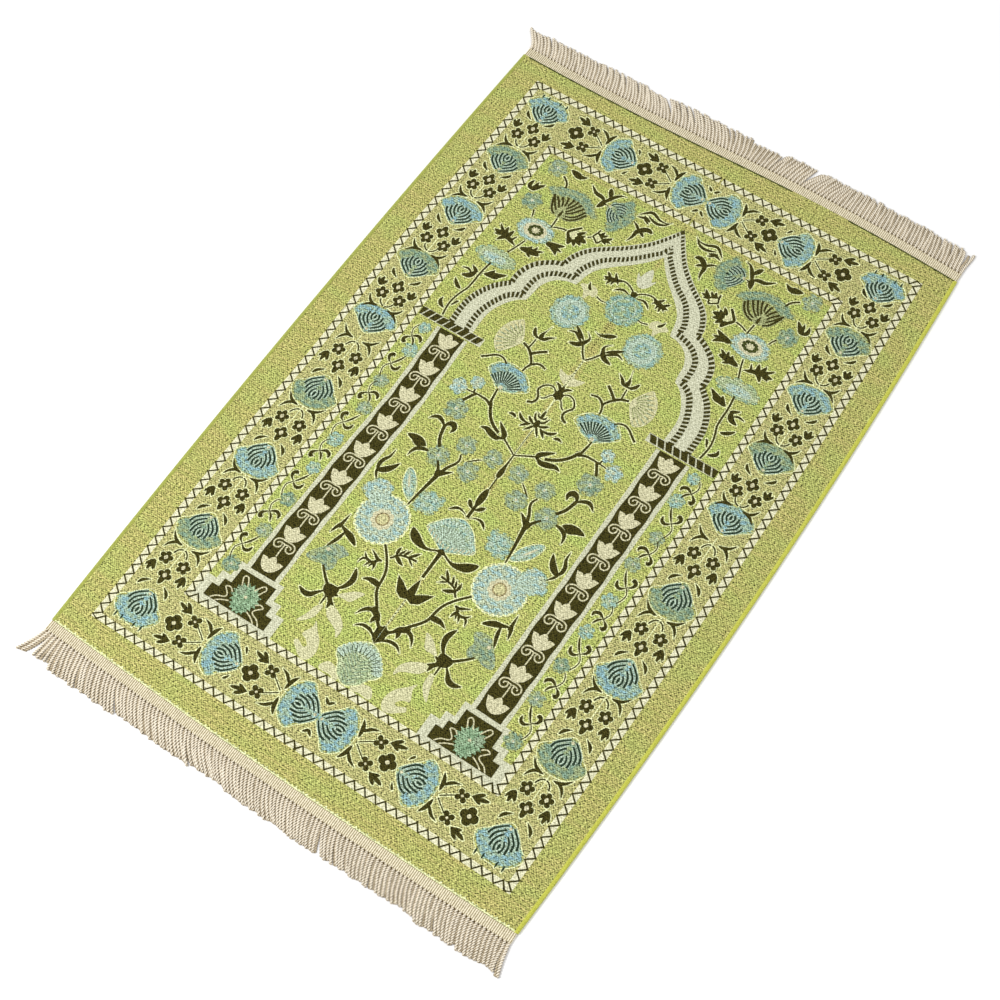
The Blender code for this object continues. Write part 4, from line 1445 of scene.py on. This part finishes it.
# ---- The overlocked sides --------------------------------------------------------------------
# Chartreuse polyester thread, wrapped by the overlock machine over each long side in slanted
# stitches that lie close together and stand a little proud of the cloth.
WRAP_PITCH = 0.00185
WRAP_THREAD = 0.00052
WRAP_SLANT = 0.0008
WRAP_WIDTH = 0.0048


def wrap_stitch(side):
    """One stitch over the edge at x = 0. side is 1 where the cloth lies to its left."""
    bpy.ops.curve.primitive_nurbs_path_add(radius=0.001)
    stitch = bpy.context.object
    stitch.data.splines.clear()
    line = stitch.data.splines.new("POLY")
    path = (
        (-WRAP_WIDTH, CLOTH_FACE - 0.0002),
        (-WRAP_WIDTH * 0.72, CLOTH_FACE + 0.0004),
        (-WRAP_WIDTH * 0.25, CLOTH_FACE + 0.0004),
        (-0.0003, CLOTH_FACE - 0.0003),
        (0.0, 0.0012),
        (-0.0006, 0.0005),
    )
    line.points.add(len(path) - 1)
    for number, (x, z) in enumerate(path):
        slant = WRAP_SLANT * number / (len(path) - 1)
        line.points[number].co = (side * x, slant, z, 1.0)
    stitch.data.bevel_depth = WRAP_THREAD
    stitch.data.bevel_resolution = 1
    stitch.data.use_fill_caps = True
    bpy.ops.object.convert(target="MESH")
    bpy.ops.object.mode_set(mode="EDIT")
    bpy.ops.mesh.select_all(action="SELECT")
    bpy.ops.transform.resize(value=(1.0, 1.8, 1.0))
    bpy.ops.object.mode_set(mode="OBJECT")
    return stitch


def joined_copies(name, pattern, count, place):
    """One mesh of count copies of pattern. place(number, x, y, z) gives a copied point's place."""
    points = [corner.co.copy() for corner in pattern.data.vertices]
    faces = [tuple(face.vertices) for face in pattern.data.polygons]
    all_points = []
    all_faces = []
    for number in range(count):
        start = len(all_points)
        all_points += [place(number, *point) for point in points]
        all_faces += [tuple(start + corner for corner in face) for face in faces]
    mesh = bpy.data.meshes.new(name)
    mesh.from_pydata(all_points, [], all_faces)
    copies = bpy.data.objects.new(name, mesh)
    bpy.context.scene.collection.objects.link(copies)
    bpy.data.objects.remove(pattern, do_unlink=True)
    bpy.ops.object.select_all(action="DESELECT")
    bpy.context.view_layer.objects.active = copies
    copies.select_set(True)
    bpy.ops.object.shade_smooth_by_angle(angle=math.radians(60))
    return copies


def thread_finish(name, colour, dark, scale):
    """Smooth spun thread: one dye with a fine lengthwise grain."""
    finish = bpy.data.materials.new(name)
    finish.use_nodes = True
    tree = finish.node_tree
    shader = tree.nodes["Principled BSDF"]
    place = tree.nodes.new("ShaderNodeTexCoord").outputs["Object"]
    grain = noise_on(tree, place, scale, 3.0)
    tree.links.new(ramp_of(tree, grain, ((0.35, dark), (0.6, colour))), shader.inputs["Base Color"])
    shader.inputs["Roughness"].default_value = 0.8
    shader.inputs["Sheen Weight"].default_value = 0.2
    bump = tree.nodes.new("ShaderNodeBump")
    bump.inputs["Strength"].default_value = 0.4
    bump.inputs["Distance"].default_value = 0.0003
    tree.links.new(grain, bump.inputs["Height"])
    tree.links.new(bump.outputs["Normal"], shader.inputs["Normal"])
    return finish


SIDE_THREADS = (
    # name, side, dye, its shade
    ("overlock_right", 1, linear(206, 208, 84), linear(170, 172, 50)),
    ("overlock_left", -1, linear(176, 182, 84), linear(134, 140, 52)),
)
for name, side, dye, shade in SIDE_THREADS:
    edge_thread = thread_finish(name + "_thread", dye, shade, 900.0)
    stitches = round(CLOTH_LENGTH / WRAP_PITCH)

    def along_side(number, x, y, z, side=side, stitches=stitches):
        """Where a point of the stitch comes to lie for that stitch of the side."""
        flat_y = CLOTH_LENGTH * ((number + 0.5) / stitches - 0.5)
        edge_x, edge_y = lay(side * CLOTH_WIDTH / 2, flat_y)
        return edge_x + x, edge_y + y - WRAP_SLANT / 2, z

    overlock = joined_copies(name, wrap_stitch(side), stitches, along_side)
    fit_out(overlock, edge_thread)
    on_cloth.append(overlock)

# ---- The fringes -----------------------------------------------------------------------------
# Bleached cotton. Each is a narrow ribbed heading, sewn along a short end, with a row of cords:
# each cord is two plies twisted hard together and looped at its tip. They lie in clumps, as
# the rug was put down.
SEAM_GAP = 0.0003
HEADING_DEPTH = 0.0140
HEADING_THICK = 0.0028
CORD_PITCH = 0.0055
CORD_COUNT = round(CLOTH_WIDTH / CORD_PITCH)
PLY_RADIUS = 0.00130
PLY_OFFSET = 0.00104
CORD_TURNS = 6.0
PLY_STEPS = 36
ROOT_HIDDEN = 0.0008         # how far a cord runs back into its heading
CORD_MIDDLE = 0.0018         # how high a cord's middle lies at its root
UNDER_DROP = 0.0009          # how much lower, and shorter, the cords of the lower row are
UNDER_SHORTER = 0.0015
HEADING_RIB = 0.0007

# Where a clump's first root is, how far the tips of its first and last cord lean to the right
# of their roots, and how far its tips reach past the heading, in millimetres.
NEAR_CLUMPS = (
    # start, first_lean, last_lean, reach
    (-350, -16, -12, 42),
    (-338, -6, 4, 38),
    (-322, 9, 16, 41),
    (-285, 17, 20, 40),
    (-262, 20, 23, 40),
    (-230, 24, 29, 37),
    (-120, 30, 27, 34),
    (-64, 28, 22, 37),
    (35, 23, 13, 38),
    (88, 19, 19, 37),
    (105, 22, 17, 37),
    (122, 18, 13, 37),
    (160, 15, 14, 37),
    (186, 16, 16, 36),
    (224, 17, 14, 40),
    (251, 19, 12, 40),
    (285, 15, 10, 41),
    (325, 10, 8, 39),
    (343, 11, 12, 43),
)
FAR_CLUMPS = (
    (-350, -22, -20, 34),
    (-325, -19, -16, 36),
    (-290, -15, -15, 36),
    (-235, -15, -18, 38),
    (-180, -19, -20, 38),
    (-150, -20, -24, 35),
    (-112, -22, -24, 38),
    (-60, -23, -22, 38),
    (-20, -20, -5, 37),
    (10, -3, 4, 33),
    (45, 9, 8, 39),
    (95, 17, 8, 38),
    (145, 8, -3, 38),
    (190, -2, -4, 38),
    (240, -3, -7, 39),
    (300, -6, -7, 39),
    (343, -3, 5, 38),
)


def clump_values(clumps, x):
    """The lean and the reach of the cord whose root is at flat x, in metres."""
    row = max(index for index, clump in enumerate(clumps)
              if index == 0 or clump[0] * MILLIMETRE <= x)
    start, first_lean, last_lean, reach = clumps[row]
    following = clumps[row + 1][0] if row + 1 < len(clumps) else CLOTH_WIDTH / 2 / MILLIMETRE
    share = (x / MILLIMETRE - start) / (following - start)
    lean = first_lean + (last_lean - first_lean) * share
    return lean * MILLIMETRE, reach * MILLIMETRE


def straight_cord():
    """One cord, from y = 0 to y = 1: a ring of two plies, screwed along its length."""
    bpy.ops.mesh.primitive_circle_add(vertices=6, radius=PLY_RADIUS, fill_type="NGON",
                                      location=(PLY_OFFSET, 0.0, 0.0),
                                      rotation=(math.radians(90), 0.0, 0.0))
    cord = bpy.context.object
    bpy.ops.object.transform_apply(location=True, rotation=True, scale=True)
    ring = [corner.co.copy() for corner in cord.data.vertices]
    points = []
    faces = []
    for ply in range(2):
        for step in range(PLY_STEPS + 1):
            share = step / PLY_STEPS
            angle = math.pi * ply + math.tau * CORD_TURNS * share
            swell = min(1.0, 0.55 + 2.6 * math.sqrt(max(0.0, 1.0 - share)))
            for corner in ring:
                x = (corner.x * math.cos(angle) - corner.z * math.sin(angle)) * swell
                z = (corner.x * math.sin(angle) + corner.z * math.cos(angle)) * swell
                points.append((x, share, z))
        first = ply * (PLY_STEPS + 1) * len(ring)
        for step in range(PLY_STEPS):
            for side in range(len(ring)):
                this = first + step * len(ring) + side
                beside = first + step * len(ring) + (side + 1) % len(ring)
                faces.append((this, beside, beside + len(ring), this + len(ring)))
        faces.append(tuple(first + side for side in range(len(ring))))
        last = first + PLY_STEPS * len(ring)
        faces.append(tuple(last + side for side in range(len(ring))))
    cord.data.clear_geometry()
    cord.data.from_pydata(points, [], faces)
    bpy.ops.object.mode_set(mode="EDIT")
    bpy.ops.mesh.select_all(action="SELECT")
    bpy.ops.mesh.normals_make_consistent(inside=False)
    bpy.ops.object.mode_set(mode="OBJECT")
    return cord


def cotton_finish(name, pale, painted_shade, low=None, high=None, ribbed=0.0):
    """Cotton with a random grain and painted shade: darker down between its plies or its ribs
    than on top of them.

    low and high are the heights at which the painted shade is deepest and palest. ribbed is
    how strongly the painted shade marks the heading's ribs and the weft lines across them.
    """
    finish = bpy.data.materials.new(name)
    finish.use_nodes = True
    tree = finish.node_tree
    shader = tree.nodes["Principled BSDF"]
    place = tree.nodes.new("ShaderNodeTexCoord").outputs["Object"]
    parts = tree.nodes.new("ShaderNodeSeparateXYZ")
    tree.links.new(place, parts.inputs[0])
    grain = sum_of(tree, "SUBTRACT", noise_on(tree, place, 330.0, 1.0), 0.5)
    if ribbed:
        ribs, lines = (
            sum_of(tree, "SINE", sum_of(tree, "MULTIPLY", parts.outputs[axis], math.tau / pitch))
            for axis, pitch in (("X", CORD_PITCH / 2), ("Y", 0.0028)))
        beads = sum_of(tree, "MULTIPLY", sum_of(tree, "ADD", lines, 2.0), ribbed / 2)
        level = sum_of(tree, "ADD", sum_of(tree, "MULTIPLY", ribs, beads), 0.5)
    else:
        level = sum_of(tree, "DIVIDE", sum_of(tree, "SUBTRACT", parts.outputs["Z"], low),
                       high - low)
    level = sum_of(tree, "ADD", level, sum_of(tree, "MULTIPLY", grain, 0.9))
    shades = ramp_of(tree, level, ((0.0, painted_shade), (1.0, pale)))
    tree.links.new(shades, shader.inputs["Base Color"])
    shader.inputs["Roughness"].default_value = 0.95
    shader.inputs["Specular IOR Level"].default_value = 0.1
    return finish


# Painted shade: the cords are darker the lower they lie, down between their plies.
cord_yarn = cotton_finish("cotton_cord", linear(250, 241, 222), linear(152, 134, 102),
                          0.0014, 0.0034)
# The lower row is painted darker all over, as painted shade under the upper cords.
shaded_under_yarn = cotton_finish("cotton_undercord_shaded", linear(222, 208, 180), linear(116, 98, 66),
                           0.0002, 0.0024)
# Painted shade: the heading is darker between its ribs and between the weft lines across them.
heading_yarn = cotton_finish("cotton_heading", linear(250, 242, 218), linear(150, 136, 98),
                             ribbed=0.52)
# Painted shadow: the knots' dark brown stands for the shade between the cords' roots.
shadow_knot_yarn = cotton_finish("painted_root_shadow", linear(96, 78, 44), linear(56, 44, 24), 0.0, 0.0036)

for name, end, clumps, seed in (("near", -1, NEAR_CLUMPS, 3), ("far", 1, FAR_CLUMPS, 5)):
    chance = random.Random(seed)
    habits = [
        {
            "lean": chance.uniform(-1.3, 1.3) * MILLIMETRE,
            "reach": chance.uniform(-3.4, -0.2) * MILLIMETRE,
            "lift": chance.uniform(0.0, 0.35) * MILLIMETRE,
            "sway": chance.uniform(-0.7, 0.7) * MILLIMETRE,
            "turn": chance.uniform(0.0, math.tau),
        }
        for _ in range(CORD_COUNT)
    ]

    def along_cord(number, x, share, z, end=end, clumps=clumps, habits=habits, under=0.0):
        """Where a point of the straight cord lies on that cord; under is 1 in the lower row."""
        habit = habits[number]
        root = CLOTH_WIDTH * ((number + 0.5 + 0.5 * under) / CORD_COUNT - 0.5)
        lean, reach = clump_values(clumps, root)
        lean += habit["lean"]
        reach += habit["reach"] - UNDER_SHORTER * under
        root_x, seam = lay(root, end * CLOTH_LENGTH / 2)
        bend = 0.5 * share + 0.5 * share * share
        slope = lean * (0.5 + share) / reach
        centre_x = root_x + lean * bend + habit["sway"] * math.sin(math.tau * share)
        centre_y = seam + end * (SEAM_GAP + HEADING_DEPTH - ROOT_HIDDEN + reach * share)
        turned_x = x * math.cos(habit["turn"]) - z * math.sin(habit["turn"])
        turned_z = x * math.sin(habit["turn"]) + z * math.cos(habit["turn"])
        square = 1.0 / math.hypot(1.0, slope)
        height = CORD_MIDDLE - 0.0003 * share + habit["lift"] * math.sin(math.pi * share)
        height -= UNDER_DROP * under
        return (
            centre_x + turned_x * square,
            centre_y - end * turned_x * slope * square,
            max(0.0, height + turned_z * (0.86 - 0.3 * under)),
        )

    def along_lower_cord(number, x, share, z, place=along_cord):
        """The same for the lower row, whose cords lie between those of the upper one."""
        return place(number, x, share, z, under=1.0)

    def along_shadow_knots(number, x, y, z, end=end):
        """Where a point of the dark knot of painted shadow comes to lie between two cords' roots.
        """
        root = CLOTH_WIDTH * ((number + 1) / CORD_COUNT - 0.5)
        root_x, seam = lay(root, end * CLOTH_LENGTH / 2)
        return root_x + x - y * 0.3, seam + end * (SEAM_GAP + HEADING_DEPTH + 0.0002) + y, z

    cords = joined_copies("fringe_cords_" + name, straight_cord(), CORD_COUNT, along_cord)
    fit_out(cords, cord_yarn)
    lower_cords = joined_copies("fringe_lower_cords_" + name, straight_cord(), CORD_COUNT - 1,
                                along_lower_cord)
    fit_out(lower_cords, shaded_under_yarn)

    # Painted shadow: one dark knot between each two cords' roots stands for the shade in the gap.
    bpy.ops.mesh.primitive_uv_sphere_add(segments=8, ring_count=6, radius=0.001)
    knot = bpy.context.object
    bpy.ops.object.mode_set(mode="EDIT")
    bpy.ops.mesh.select_all(action="SELECT")
    bpy.ops.transform.resize(value=(0.85, 1.5, 0.8))
    bpy.ops.transform.translate(value=(0.0, 0.0, 0.0027))
    bpy.ops.object.mode_set(mode="OBJECT")
    knots = joined_copies("fringe_shadow_knots_" + name, knot, CORD_COUNT - 1, along_shadow_knots)
    fit_out(knots, shadow_knot_yarn)

    # The heading is a grid whose ribs run outwards, two for each cord.
    ribs = 2 * CORD_COUNT
    bpy.ops.mesh.primitive_grid_add(x_subdivisions=4 * ribs, y_subdivisions=14, size=1.0)
    heading = bpy.context.object
    heading.name = "fringe_heading_" + name
    for corner in heading.data.vertices:
        share_x = corner.co.x
        share_y = corner.co.y + 0.5
        root_x, seam = lay(share_x * (CLOTH_WIDTH - 0.001), end * CLOTH_LENGTH / 2)
        rib = abs(math.sin(math.pi * ribs * (share_x + 0.5)))
        bead = 0.5 + 0.5 * math.cos(math.tau * 6 * share_y)
        corner.co.x = root_x
        corner.co.y = seam + end * (SEAM_GAP + HEADING_DEPTH * share_y)
        corner.co.z = HEADING_THICK - HEADING_RIB + HEADING_RIB * rib + 0.0002 * rib * bead
    band = heading.modifiers.new("band", "SOLIDIFY")
    band.thickness = HEADING_THICK - 0.0010
    band.offset = -float(end)
    bpy.ops.object.modifier_apply(modifier=band.name)
    bpy.ops.object.mode_set(mode="EDIT")
    bpy.ops.mesh.select_all(action="SELECT")
    bpy.ops.mesh.normals_make_consistent(inside=False)
    bpy.ops.object.mode_set(mode="OBJECT")
    bpy.ops.object.shade_smooth_by_angle(angle=math.radians(60))
    fit_out(heading, heading_yarn)
    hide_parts("fringe_" + name)
    on_cloth += [cords, lower_cords, knots, heading]
